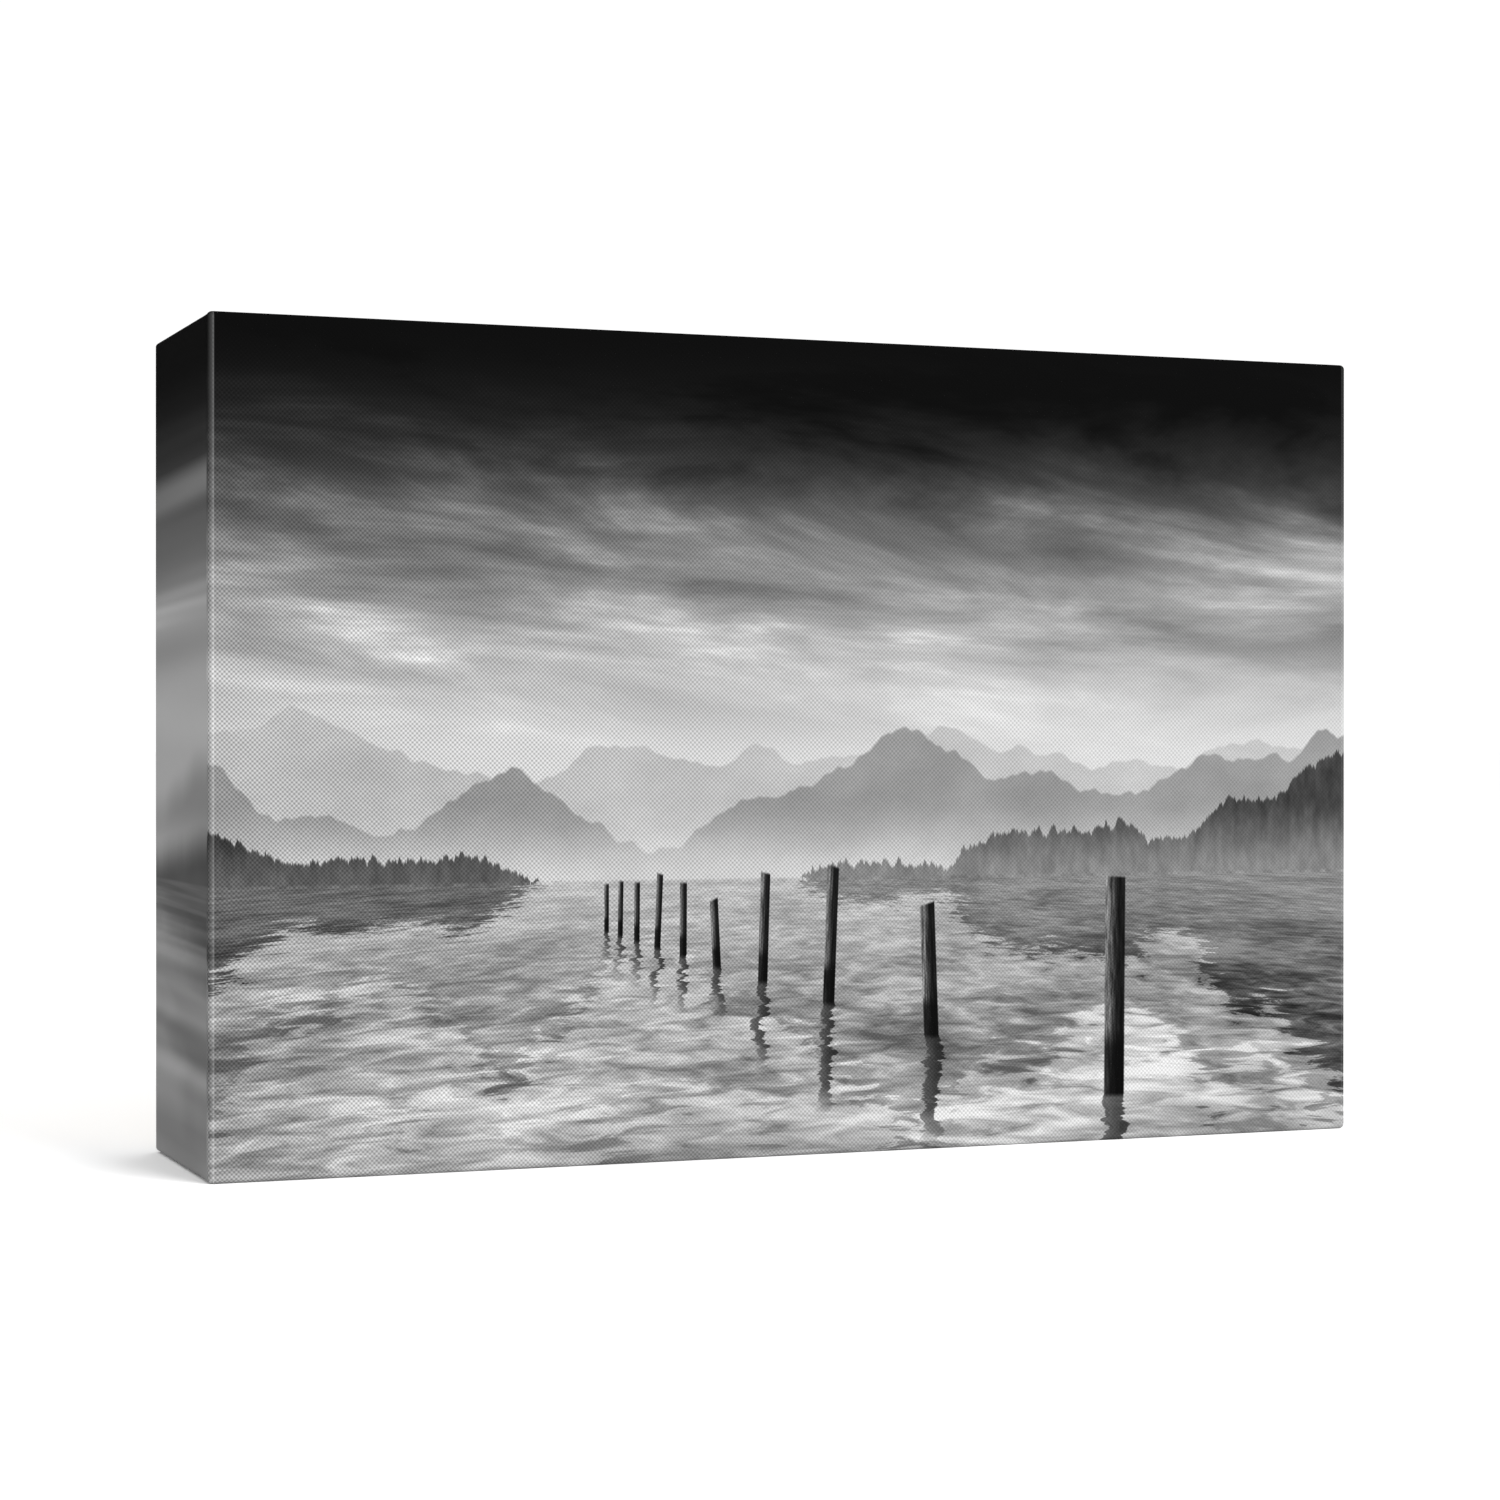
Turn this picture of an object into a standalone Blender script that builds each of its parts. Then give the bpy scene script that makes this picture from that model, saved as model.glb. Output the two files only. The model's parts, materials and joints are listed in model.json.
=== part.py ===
"""A gallery-wrapped canvas print: four pine stretcher bars joined at tongued mitres and tightened by
corner keys, a printed canvas stretched over them and stapled behind, two D-ring hangers and two
rubber bumpers.

+X runs along the width, +Y from the printed face to the back, +Z up. The origin is under the middle
of the whole print's box, at its foot.
"""

import math
from collections import namedtuple

import bmesh
import bpy
from mathutils import Matrix, Vector

MM = 0.001

# The whole print
WIDTH = 304.8 * MM
HEIGHT = 203.2 * MM
GAP = 0.3 * MM

# The canvas
CANVAS = 0.6 * MM
FLAP = 25.0 * MM
FRONT_EDGE_RADIUS = 1.4 * MM
BACK_EDGE_RADIUS = 1.2 * MM
CORNER_RADIUS = 1.2 * MM
LEAST_RADIUS = 0.2 * MM
ARC_STEPS = 4

# The stretcher bars
BAR_DEPTH = 63.5 * MM
BAR_WIDTH = 32.0 * MM
BAR_CHAMFER = 1.2 * MM
BEAD_WIDTH = 6.0 * MM
BEAD_RADIUS = 0.8 * MM
BEAD_STEP = 1.5 * MM
BAR_SLOPE = 4.0 * MM
MITRE_TRIM = GAP / math.sqrt(2)

# The tongues, slots and keys of the corners
TONGUE = 4.0 * MM
TONGUE_ROOT = 4.0 * MM
RAIL_TONGUE_DEPTH = 39.0 * MM
UPRIGHT_TONGUE_DEPTH = 50.0 * MM
BLIND_WALL = 4.0 * MM
KEY_ROOM = 8.0 * MM
KEY_TIP_INSET = 8.5 * MM
KEY_HEAD = 12.0 * MM
KEY_TIP_WIDTH = 3.2 * MM
KEY_MOUTH_WIDTH = 7.2 * MM
KEY_CHAMFER = 1.0 * MM

# The hangers
HANGER_X = 138.0 * MM
HANGER_Z = 159.0 * MM
STRAP = 0.8 * MM
STRAP_WIDTH = 11.0 * MM
STRAP_LENGTH = 24.0 * MM
STRAP_TRIM = 1.0 * MM
LOOP_STEPS = 14
RING_WIRE = 1.2 * MM
RING_HALF_WIDTH = 9.2 * MM
RING_REACH = 12.6 * MM
RING_CORNER = 2.0 * MM
RING_ARCH_STEPS = 16

# The hanger screws
SCREW_DROP = 17.5 * MM
SCREW_HEAD_RADIUS = 3.4 * MM
SCREW_HEAD_EDGE = 1.1 * MM
SCREW_HEAD_HEIGHT = 2.1 * MM
SCREW_RADIUS = 1.7 * MM
SCREW_LENGTH = 16.0 * MM
SCREW_POINT = 3.0 * MM
CROSS_LENGTH = 3.6 * MM
CROSS_WIDTH = 0.9 * MM
CROSS_DEPTH = 1.1 * MM

# The staples
STAPLE_CROWN = 10.5 * MM
STAPLE_WIRE = 1.2 * MM
STAPLE_THICKNESS = 0.6 * MM
STAPLE_LEG = 8.5 * MM
STAPLE_SHOULDER = 0.35 * MM
STAPLE_INSET = 12.5 * MM
CORNER_STAPLE_INSET = 24.0 * MM
RAIL_STAPLES = 6
UPRIGHT_STAPLES = 4
STAPLE_TILT_DEG = 5.0

# The bumpers
BUMPER_RADIUS = 5.5 * MM
BUMPER_ROUND = 1.2 * MM
BUMPER_INSET = 10.8 * MM

ROUND_SIDES = 20

# Depths behind the printed face; the box's middle is at Y = 0
BAR_FRONT = CANVAS + GAP
FLAP_FRONT = BAR_FRONT + BAR_DEPTH + GAP
FLAP_BACK = FLAP_FRONT + CANVAS
FITTING_FRONT = FLAP_BACK + GAP
LOOP_BORE = RING_WIRE + GAP
LOOP_RADIUS = LOOP_BORE + STRAP
RING_DEPTH = FITTING_FRONT + LOOP_RADIUS
SCREW_HEAD_FRONT = FITTING_FRONT + 2 * STRAP + GAP
DEPTH = RING_DEPTH + LOOP_RADIUS
FACE_Y = -DEPTH / 2

FRAME_WIDTH = WIDTH - 2 * BAR_FRONT
FRAME_HEIGHT = HEIGHT - 2 * BAR_FRONT

# The strap's back stands this far behind the ring's axis, so the hanging ring leans back on it.
STRAP_BACK = 2 * STRAP - LOOP_RADIUS
RING_LEAN = math.asin((STRAP_BACK + GAP + RING_WIRE) / RING_REACH)

Side = namedtuple("Side", "name turn_deg x z length tongue slot ends")

# A bar is made along X with its outer face up, then turned about Y to its side of the frame; its ends
# are named from its own -X end to its +X end.
SIDES = (
    Side(
        "top", 0, 0.0, (HEIGHT + FRAME_HEIGHT) / 2, FRAME_WIDTH,
        RAIL_TONGUE_DEPTH, UPRIGHT_TONGUE_DEPTH, ("left", "right"),
    ),
    Side(
        "bottom", 180, 0.0, (HEIGHT - FRAME_HEIGHT) / 2, FRAME_WIDTH,
        RAIL_TONGUE_DEPTH, UPRIGHT_TONGUE_DEPTH, ("right", "left"),
    ),
    Side(
        "left", -90, -FRAME_WIDTH / 2, HEIGHT / 2, FRAME_HEIGHT,
        UPRIGHT_TONGUE_DEPTH, RAIL_TONGUE_DEPTH, ("bottom", "top"),
    ),
    Side(
        "right", 90, FRAME_WIDTH / 2, HEIGHT / 2, FRAME_HEIGHT,
        UPRIGHT_TONGUE_DEPTH, RAIL_TONGUE_DEPTH, ("top", "bottom"),
    ),
)


def clear_scene():
    for obj in list(bpy.data.objects):
        bpy.data.objects.remove(obj)


def material(name, colour, roughness, metallic=0.0):
    made = bpy.data.materials.new(name)
    made.use_nodes = True
    shader = made.node_tree.nodes["Principled BSDF"]
    shader.inputs["Base Color"].default_value = (*colour, 1.0)
    shader.inputs["Roughness"].default_value = roughness
    shader.inputs["Metallic"].default_value = metallic
    return made


def make_object(name, shape, finish=None):
    """Turns a bmesh into an object in the scene, smooth except at its real edges."""
    bmesh.ops.recalc_face_normals(shape, faces=shape.faces)
    mesh = bpy.data.meshes.new(name)
    shape.to_mesh(mesh)
    shape.free()
    mesh.shade_smooth()
    mesh.set_sharp_from_angle(angle=math.radians(30))
    if finish is not None:
        mesh.materials.append(finish)
    obj = bpy.data.objects.new(name, mesh)
    bpy.context.scene.collection.objects.link(obj)
    return obj


def as_cutter(obj):
    obj.hide_render = True
    obj.display_type = "WIRE"
    return obj


def boolean(obj, operation, other):
    step = obj.modifiers.new(operation.lower(), "BOOLEAN")
    step.operation = operation
    step.object = other
    step.solver = "EXACT"


def turns(start, end, steps):
    """Angles from start to end in equal steps, both ends included."""
    return [start + (end - start) * i / steps for i in range(steps + 1)]


def side_walls(shape, near, far):
    """Joins two matching closed outlines of vertices with a band of faces."""
    for i in range(len(near)):
        j = (i + 1) % len(near)
        shape.faces.new((near[i], near[j], far[j], far[i]))


def prism(near_points, far_points):
    """A bmesh with two matching flat outlines as its ends."""
    shape = bmesh.new()
    near = [shape.verts.new(point) for point in near_points]
    far = [shape.verts.new(point) for point in far_points]
    shape.faces.new(near)
    shape.faces.new(far)
    side_walls(shape, near, far)
    return shape


def turned(profile, x, y, z):
    """A bmesh turned about a line along Y through x and z, from points (radius, distance past y)."""
    shape = bmesh.new()
    rings = []
    for radius, along in profile:
        circle = turns(0.0, 2 * math.pi, ROUND_SIDES)[:-1] if radius else [0.0]
        rings.append(
            [
                shape.verts.new((x + radius * math.cos(t), y + along, z + radius * math.sin(t)))
                for t in circle
            ]
        )
    for near, far in zip(rings, rings[1:]):
        for i in range(ROUND_SIDES):
            j = (i + 1) % ROUND_SIDES
            corners = (near[i % len(near)], near[j % len(near)], far[j % len(far)], far[i % len(far)])
            shape.faces.new(dict.fromkeys(corners))
    for end in (rings[0], rings[-1]):
        if len(end) > 1:
            shape.faces.new(end)
    return shape


def add_box(shape, low, high):
    """Adds a box to a bmesh from two opposite corners, given in any order."""
    centre = (Vector(low) + Vector(high)) / 2
    size = [abs(b - a) for a, b in zip(low, high)]
    placed = Matrix.Translation(centre) @ Matrix.Diagonal((*size, 1.0))
    return bmesh.ops.create_cube(shape, size=1.0, matrix=placed)["verts"]


def place(obj, side):
    """Moves a piece made along X to its side of the frame."""
    obj.rotation_euler = (0.0, math.radians(side.turn_deg), 0.0)
    obj.location = (side.x, FACE_Y + BAR_FRONT, side.z)
    return obj


def bar_profile():
    """Points (distance in from the outer face, depth) round a bar's section, raised bead first."""
    bead = [
        (BEAD_RADIUS * (1 - math.cos(t)), BEAD_RADIUS * (1 - math.sin(t)))
        for t in turns(0.0, math.pi / 2, ARC_STEPS)
    ]
    return [
        *bead,
        (BEAD_WIDTH, 0.0),
        (BEAD_WIDTH + BEAD_STEP, BEAD_STEP),
        (BAR_WIDTH, BAR_SLOPE),
        (BAR_WIDTH, BAR_DEPTH - BAR_CHAMFER),
        (BAR_WIDTH - BAR_CHAMFER, BAR_DEPTH),
        (BAR_CHAMFER, BAR_DEPTH),
        (0.0, BAR_DEPTH - BAR_CHAMFER),
    ]


def mitred_bar(side, finish):
    """The plain bar, cut at 45 degrees at both ends and trimmed by half the joint's gap."""
    near, far = (
        [
            (end * (side.length / 2 - MITRE_TRIM - inwards), depth, -inwards)
            for inwards, depth in bar_profile()
        ]
        for end in (-1, 1)
    )
    return place(make_object("stretcher_" + side.name, prism(near, far), finish), side)


def tongues(side):
    """The two tongues that run on past the mitres into the next bars' slots."""
    shape = bmesh.new()
    for end in (-1, 1):
        add_box(
            shape,
            (
                end * (side.length / 2 - BAR_WIDTH - TONGUE_ROOT),
                side.tongue - TONGUE / 2,
                GAP - BAR_WIDTH,
            ),
            (
                end * (side.length / 2 - BLIND_WALL),
                side.tongue + TONGUE / 2,
                -BAR_CHAMFER,
            ),
        )
    return place(as_cutter(make_object("tongues_" + side.name, shape)), side)


def slots(side):
    """The two slots that take the next bars' tongues, each long enough for a key as well."""
    shape = bmesh.new()
    for end in (-1, 1):
        add_box(
            shape,
            (
                end * (side.length / 2 - BAR_WIDTH - KEY_ROOM),
                side.slot - TONGUE / 2 - GAP,
                -BAR_WIDTH - KEY_ROOM,
            ),
            (
                end * (side.length / 2 + GAP),
                side.slot + TONGUE / 2 + GAP,
                GAP - BLIND_WALL,
            ),
        )
    return place(as_cutter(make_object("slots_" + side.name, shape)), side)


def stretcher_bar(side, holes, finish):
    bar = mitred_bar(side, finish)
    boolean(bar, "UNION", tongues(side))
    boolean(bar, "DIFFERENCE", slots(side))
    boolean(bar, "DIFFERENCE", holes)


def corner_key(side, end, end_name, finish):
    """A wedge in a bar's slot: its straight edge lies along the next bar, its head stands inside."""
    straight = side.length / 2 - BAR_WIDTH - GAP
    slope = (KEY_MOUTH_WIDTH - KEY_TIP_WIDTH) / (BAR_WIDTH - KEY_TIP_INSET)
    head_width = KEY_MOUTH_WIDTH + slope * KEY_HEAD
    head = BAR_WIDTH + KEY_HEAD
    outline = [
        (straight, KEY_TIP_INSET),
        (straight - KEY_TIP_WIDTH, KEY_TIP_INSET),
        (straight - head_width, head - KEY_CHAMFER),
        (straight - head_width + KEY_CHAMFER, head),
        (straight - KEY_CHAMFER, head),
        (straight, head - KEY_CHAMFER),
    ]
    near, far = (
        [(end * along, side.slot + face * TONGUE / 2, -inwards) for along, inwards in outline]
        for face in (-1, 1)
    )
    place(make_object(f"key_{side.name}_{end_name}", prism(near, far), finish), side)


def canvas_ring(inset, depth):
    """Points round the print's outline, drawn in by inset, with its corners rounded."""
    radius = max(CORNER_RADIUS - inset, LEAST_RADIUS)
    half_x = WIDTH / 2 - inset - radius
    half_z = HEIGHT / 2 - inset - radius
    points = []
    for quarter, (way_x, way_z) in enumerate(((1, 1), (-1, 1), (-1, -1), (1, -1))):
        start = quarter * math.pi / 2
        for t in turns(start, start + math.pi / 2, ARC_STEPS):
            points.append(
                (
                    way_x * half_x + radius * math.cos(t),
                    FACE_Y + depth,
                    HEIGHT / 2 + way_z * half_z + radius * math.sin(t),
                )
            )
    return points


def canvas_skin(thickness):
    """Points (inset, depth) down one skin of the canvas, from the face round the side to the flap."""
    quarter = turns(0.0, math.pi / 2, ARC_STEPS)
    front = FRONT_EDGE_RADIUS - thickness
    back = BACK_EDGE_RADIUS - thickness
    return [
        *(
            (FRONT_EDGE_RADIUS - front * math.sin(t), FRONT_EDGE_RADIUS - front * math.cos(t))
            for t in quarter
        ),
        *(
            (
                BACK_EDGE_RADIUS - back * math.cos(t),
                FLAP_BACK - BACK_EDGE_RADIUS + back * math.sin(t),
            )
            for t in quarter
        ),
        (FLAP, FLAP_BACK - thickness),
    ]


def canvas_wrap(holes, finish):
    """The whole canvas as one sheet: printed face, four wrapped sides and the flaps behind."""
    section = canvas_skin(0.0) + canvas_skin(CANVAS)[::-1]
    shape = bmesh.new()
    rings = [
        [shape.verts.new(point) for point in canvas_ring(inset, depth)] for inset, depth in section
    ]
    for near, far in zip(rings, rings[1:]):
        side_walls(shape, near, far)
    shape.faces.new(rings[0])
    shape.faces.new(rings[-1])
    boolean(make_object("canvas", shape, finish), "DIFFERENCE", holes)


def staple_places():
    """Each staple's name, x, z and turn about Y in degrees."""
    rows = {
        "top": (RAIL_STAPLES, WIDTH, 0),
        "bottom": (RAIL_STAPLES, WIDTH, 0),
        "left": (UPRIGHT_STAPLES, HEIGHT, 90),
        "right": (UPRIGHT_STAPLES, HEIGHT, 90),
    }
    for name, (count, span, turn_deg) in rows.items():
        reach = span / 2 - CORNER_STAPLE_INSET
        for i in range(count):
            along = reach * (2 * i / (count - 1) - 1)
            x, z = {
                "top": (along, HEIGHT - STAPLE_INSET),
                "bottom": (along, STAPLE_INSET),
                "left": (STAPLE_INSET - WIDTH / 2, HEIGHT / 2 + along),
                "right": (WIDTH / 2 - STAPLE_INSET, HEIGHT / 2 + along),
            }[name]
            # A hand-held gun never sets two staples quite alike.
            tilt_deg = STAPLE_TILT_DEG * math.sin(2.3 * i + len(name))
            yield f"staple_{name}_{i + 1}", x, z, turn_deg + tilt_deg


def staple_matrix(x, z, turn_deg):
    """Carries a staple made at the origin, legs along -Y, to its place behind the print."""
    crown_back = FACE_Y + FITTING_FRONT + STAPLE_THICKNESS
    return Matrix.Translation((x, crown_back, z)) @ Matrix.Rotation(math.radians(turn_deg), 4, "Y")


def staple(name, x, z, turn_deg, finish):
    """A flat crown with two legs, chisel-cut at their points."""
    half = STAPLE_CROWN / 2
    inner = half - STAPLE_THICKNESS
    point = STAPLE_THICKNESS + STAPLE_LEG
    right = [
        (half - STAPLE_SHOULDER, 0.0),
        (half, STAPLE_SHOULDER),
        (half, point - STAPLE_THICKNESS),
        (inner, point),
        (inner, STAPLE_THICKNESS),
    ]
    outline = right + [(-along, depth) for along, depth in reversed(right)]
    near, far = (
        [(along, -depth, edge * STAPLE_WIRE / 2) for along, depth in outline] for edge in (-1, 1)
    )
    made = make_object(name, prism(near, far), finish)
    made.matrix_world = staple_matrix(x, z, turn_deg)


def fastener_holes():
    """A cutter for what the staples' legs and the hanger screws go through and into."""
    shape = bmesh.new()
    leg_x = (STAPLE_CROWN - STAPLE_THICKNESS) / 2
    half_leg = STAPLE_THICKNESS / 2 + GAP
    half_wire = STAPLE_WIRE / 2 + GAP
    end = STAPLE_THICKNESS + STAPLE_LEG + GAP
    for _, x, z, turn_deg in staple_places():
        for way in (-1, 1):
            leg = add_box(
                shape,
                (way * leg_x - half_leg, -end, -half_wire),
                (way * leg_x + half_leg, GAP, half_wire),
            )
            bmesh.ops.transform(shape, matrix=staple_matrix(x, z, turn_deg), verts=leg)
    for way in (-1, 1):
        top = FACE_Y + SCREW_HEAD_FRONT
        length = SCREW_LENGTH + GAP
        placed = Matrix.Translation((way * HANGER_X, top - length / 2, HANGER_Z - SCREW_DROP))
        bmesh.ops.create_cone(
            shape,
            cap_ends=True,
            segments=ROUND_SIDES,
            radius1=SCREW_RADIUS + GAP,
            radius2=SCREW_RADIUS + GAP,
            depth=length,
            matrix=placed @ Matrix.Rotation(math.pi / 2, 4, "X"),
        )
    return as_cutter(make_object("fastener_holes", shape))


def folded_strip(x):
    """The strap before it is punched, a little too wide and long: a plate of two leaves, opening at
    the top into the loop that holds the ring's straight side."""
    plate_foot = -STRAP_LENGTH - STRAP_TRIM
    join = 2 * math.pi - math.acos(-STRAP_BACK / LOOP_RADIUS)
    round_loop = turns(0.0, join, LOOP_STEPS)
    behind_plate = turns(join, 2 * math.pi, ARC_STEPS)[1:-1]
    shape = bmesh.new()
    ends = []
    for way in (-1, 1):
        across = x + way * (STRAP_WIDTH / 2 + STRAP_TRIM)

        def corner(y, z):
            return shape.verts.new((across, FACE_Y + RING_DEPTH + y, HANGER_Z + z))

        def circle(radius, angles):
            return [corner(-radius * math.cos(t), radius * math.sin(t)) for t in angles]

        outer = circle(LOOP_RADIUS, round_loop)
        foot = [corner(STRAP_BACK, plate_foot), corner(-LOOP_RADIUS, plate_foot)]
        bore = circle(LOOP_BORE, round_loop + behind_plate)
        for i in range(LOOP_STEPS):
            shape.faces.new((outer[i], outer[i + 1], bore[i + 1], bore[i]))
        shape.faces.new([outer[-1], *foot, outer[0], bore[0], *reversed(bore[LOOP_STEPS:])])
        ends.append((outer + foot, bore))
    for near, far in zip(*ends):
        side_walls(shape, near, far)
    return shape


def strap_outline(x):
    """A cutter for the strap's punched outline, its foot fully round."""
    half = STRAP_WIDTH / 2
    centre = HANGER_Z - STRAP_LENGTH + half
    top = HANGER_Z + LOOP_RADIUS + STRAP_TRIM
    outline = [(x + half, top), (x - half, top)]
    outline += [
        (x + half * math.cos(t), centre + half * math.sin(t))
        for t in turns(math.pi, 2 * math.pi, 3 * ARC_STEPS)
    ]
    near, far = (
        [(px, FACE_Y + depth, pz) for px, pz in outline]
        for depth in (FITTING_FRONT - STRAP_TRIM, DEPTH + STRAP_TRIM)
    )
    return as_cutter(make_object("strap_outline", prism(near, far)))


def hanger_strap(name, x, holes, finish):
    """The steel strap that holds the ring, screwed to the bar through the canvas."""
    strap = make_object("strap_" + name, folded_strip(x), finish)
    boolean(strap, "INTERSECT", strap_outline(x))
    boolean(strap, "DIFFERENCE", holes)


def hanger_ring(name, x, finish):
    """The D-ring, a wire hinged on its straight side, hanging down over the strap."""
    corner = [
        (RING_HALF_WIDTH - RING_CORNER * (1 - math.sin(t)), RING_CORNER * (1 - math.cos(t)))
        for t in turns(0.0, math.pi / 2, ARC_STEPS)
    ]
    arch = [
        (RING_HALF_WIDTH * math.cos(t), RING_CORNER + (RING_REACH - RING_CORNER) * math.sin(t))
        for t in turns(0.0, math.pi, RING_ARCH_STEPS)[1:-1]
    ]
    path = corner + arch + [(-px, pz) for px, pz in reversed(corner)]
    wire = bpy.data.curves.new("ring_" + name, "CURVE")
    wire.dimensions = "3D"
    wire.bevel_depth = RING_WIRE
    wire.bevel_resolution = 3
    wire.materials.append(finish)
    spline = wire.splines.new("POLY")
    spline.points.add(len(path) - 1)
    for point, (px, pz) in zip(spline.points, path):
        point.co = (px, 0.0, -pz, 1.0)
    spline.use_cyclic_u = True
    ring = bpy.data.objects.new("ring_" + name, wire)
    ring.location = (x, FACE_Y + RING_DEPTH, HANGER_Z)
    ring.rotation_euler = (RING_LEAN, 0.0, 0.0)
    bpy.context.scene.collection.objects.link(ring)


def cross_recess(x, z):
    """A cutter for the cross in a screw's head."""
    top = FACE_Y + SCREW_HEAD_FRONT + SCREW_HEAD_HEIGHT
    half, half_slot = CROSS_LENGTH / 2, CROSS_WIDTH / 2
    outline = [
        (half_slot, half), (-half_slot, half), (-half_slot, half_slot), (-half, half_slot),
        (-half, -half_slot), (-half_slot, -half_slot), (-half_slot, -half), (half_slot, -half),
        (half_slot, -half_slot), (half, -half_slot), (half, half_slot), (half_slot, half_slot),
    ]
    near, far = ([(x + px, y, z + pz) for px, pz in outline] for y in (top - CROSS_DEPTH, top + GAP))
    return as_cutter(make_object("cross_recess", prism(near, far)))


def hanger_screw(name, x, finish):
    """A pan-head wood screw through the strap and the canvas into the bar."""
    z = HANGER_Z - SCREW_DROP
    dome = SCREW_HEAD_HEIGHT - SCREW_HEAD_EDGE
    profile = [
        (0.0, -SCREW_LENGTH),
        (SCREW_RADIUS, SCREW_POINT - SCREW_LENGTH),
        (SCREW_RADIUS, 0.0),
        (SCREW_HEAD_RADIUS, 0.0),
        *(
            (SCREW_HEAD_RADIUS * math.cos(t), SCREW_HEAD_EDGE + dome * math.sin(t))
            for t in turns(0.0, math.pi / 2, ARC_STEPS)[:-1]
        ),
        (0.0, SCREW_HEAD_HEIGHT),
    ]
    screw = make_object("screw_" + name, turned(profile, x, FACE_Y + SCREW_HEAD_FRONT, z), finish)
    boolean(screw, "DIFFERENCE", cross_recess(x, z))


def bumper(name, x, finish):
    """A stick-on rubber foot that keeps the print off the wall."""
    thickness = DEPTH - FITTING_FRONT
    profile = [
        (BUMPER_RADIUS, 0.0),
        *(
            (
                BUMPER_RADIUS - BUMPER_ROUND * (1 - math.cos(t)),
                thickness - BUMPER_ROUND * (1 - math.sin(t)),
            )
            for t in turns(0.0, math.pi / 2, ARC_STEPS)
        ),
    ]
    shape = turned(profile, x, FACE_Y + FITTING_FRONT, BUMPER_INSET)
    make_object("bumper_" + name, shape, finish)


def main():
    clear_scene()
    pine = material("pine", (0.68, 0.49, 0.30), 0.6)
    beech = material("beech", (0.56, 0.35, 0.20), 0.55)
    canvas = material("canvas", (0.22, 0.22, 0.22), 0.8)
    galvanised = material("galvanised_wire", (0.58, 0.59, 0.60), 0.4, 1.0)
    plated = material("plated_steel", (0.66, 0.65, 0.62), 0.28, 1.0)
    rubber = material("rubber", (0.03, 0.03, 0.03), 0.75)

    holes = fastener_holes()
    for side in SIDES:
        stretcher_bar(side, holes, pine)
        for end, end_name in zip((-1, 1), side.ends):
            corner_key(side, end, end_name, beech)
    canvas_wrap(holes, canvas)
    for name, x, z, turn_deg in staple_places():
        staple(name, x, z, turn_deg, galvanised)
    for name, way in (("left", -1), ("right", 1)):
        hanger_strap(name, way * HANGER_X, holes, plated)
        hanger_ring(name, way * HANGER_X, plated)
        hanger_screw(name, way * HANGER_X, plated)
        bumper(name, way * (WIDTH / 2 - BUMPER_INSET), rubber)


main()
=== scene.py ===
# A gallery-wrapped canvas print on keyed pine stretcher bars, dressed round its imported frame.
# Metres, +Z up; the printed face looks towards -Y and the print stands on its lower side.

import json
import math
import random
from functools import partial

import bmesh
import bpy
from mathutils import Matrix, Vector


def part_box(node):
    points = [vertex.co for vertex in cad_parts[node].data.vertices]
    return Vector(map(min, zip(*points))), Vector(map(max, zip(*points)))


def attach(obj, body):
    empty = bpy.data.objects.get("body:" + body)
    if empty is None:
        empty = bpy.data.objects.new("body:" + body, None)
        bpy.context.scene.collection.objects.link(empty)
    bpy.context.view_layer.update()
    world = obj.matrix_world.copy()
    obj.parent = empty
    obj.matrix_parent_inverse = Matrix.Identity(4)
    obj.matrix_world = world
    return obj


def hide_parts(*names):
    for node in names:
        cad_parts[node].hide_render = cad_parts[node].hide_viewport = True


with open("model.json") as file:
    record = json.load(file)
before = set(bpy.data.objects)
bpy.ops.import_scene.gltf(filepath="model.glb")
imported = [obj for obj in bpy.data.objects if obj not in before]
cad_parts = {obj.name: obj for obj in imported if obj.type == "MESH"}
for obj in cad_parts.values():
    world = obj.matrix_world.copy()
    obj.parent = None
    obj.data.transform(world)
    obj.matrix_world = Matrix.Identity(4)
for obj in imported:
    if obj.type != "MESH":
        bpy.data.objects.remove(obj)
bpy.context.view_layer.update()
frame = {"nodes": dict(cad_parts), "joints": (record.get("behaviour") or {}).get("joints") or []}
print("frame loaded")

mm = 0.001
random.seed(12)


def srgb(code):  # a hex colour as the linear one that Blender's sockets take
    parts = [int(code[i:i + 2], 16) / 255 for i in (1, 3, 5)]
    return (*[c / 12.92 if c <= 0.04045 else ((c + 0.055) / 1.055) ** 2.4 for c in parts], 1.0)


def fill(node, inputs):
    # By the order of its sockets in use, or by name; a node stands for its first output in use
    named = isinstance(inputs, dict)
    sockets = node.inputs if named else [socket for socket in node.inputs if socket.enabled]
    for key, value in inputs.items() if named else enumerate(inputs):
        if isinstance(value, bpy.types.Node):
            value = next(socket for socket in value.outputs if socket.enabled)
        if isinstance(value, bpy.types.NodeSocket):
            node.id_data.links.new(value, sockets[key])
        else:
            sockets[key].default_value = value


mainSetting = {
    "Math": "operation",
    "VectorMath": "operation",
    "MapRange": "interpolation_type",
    "TexNoise": "noise_dimensions",
    "TexWhiteNoise": "noise_dimensions",
    "Mix": "data_type",
}


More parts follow.
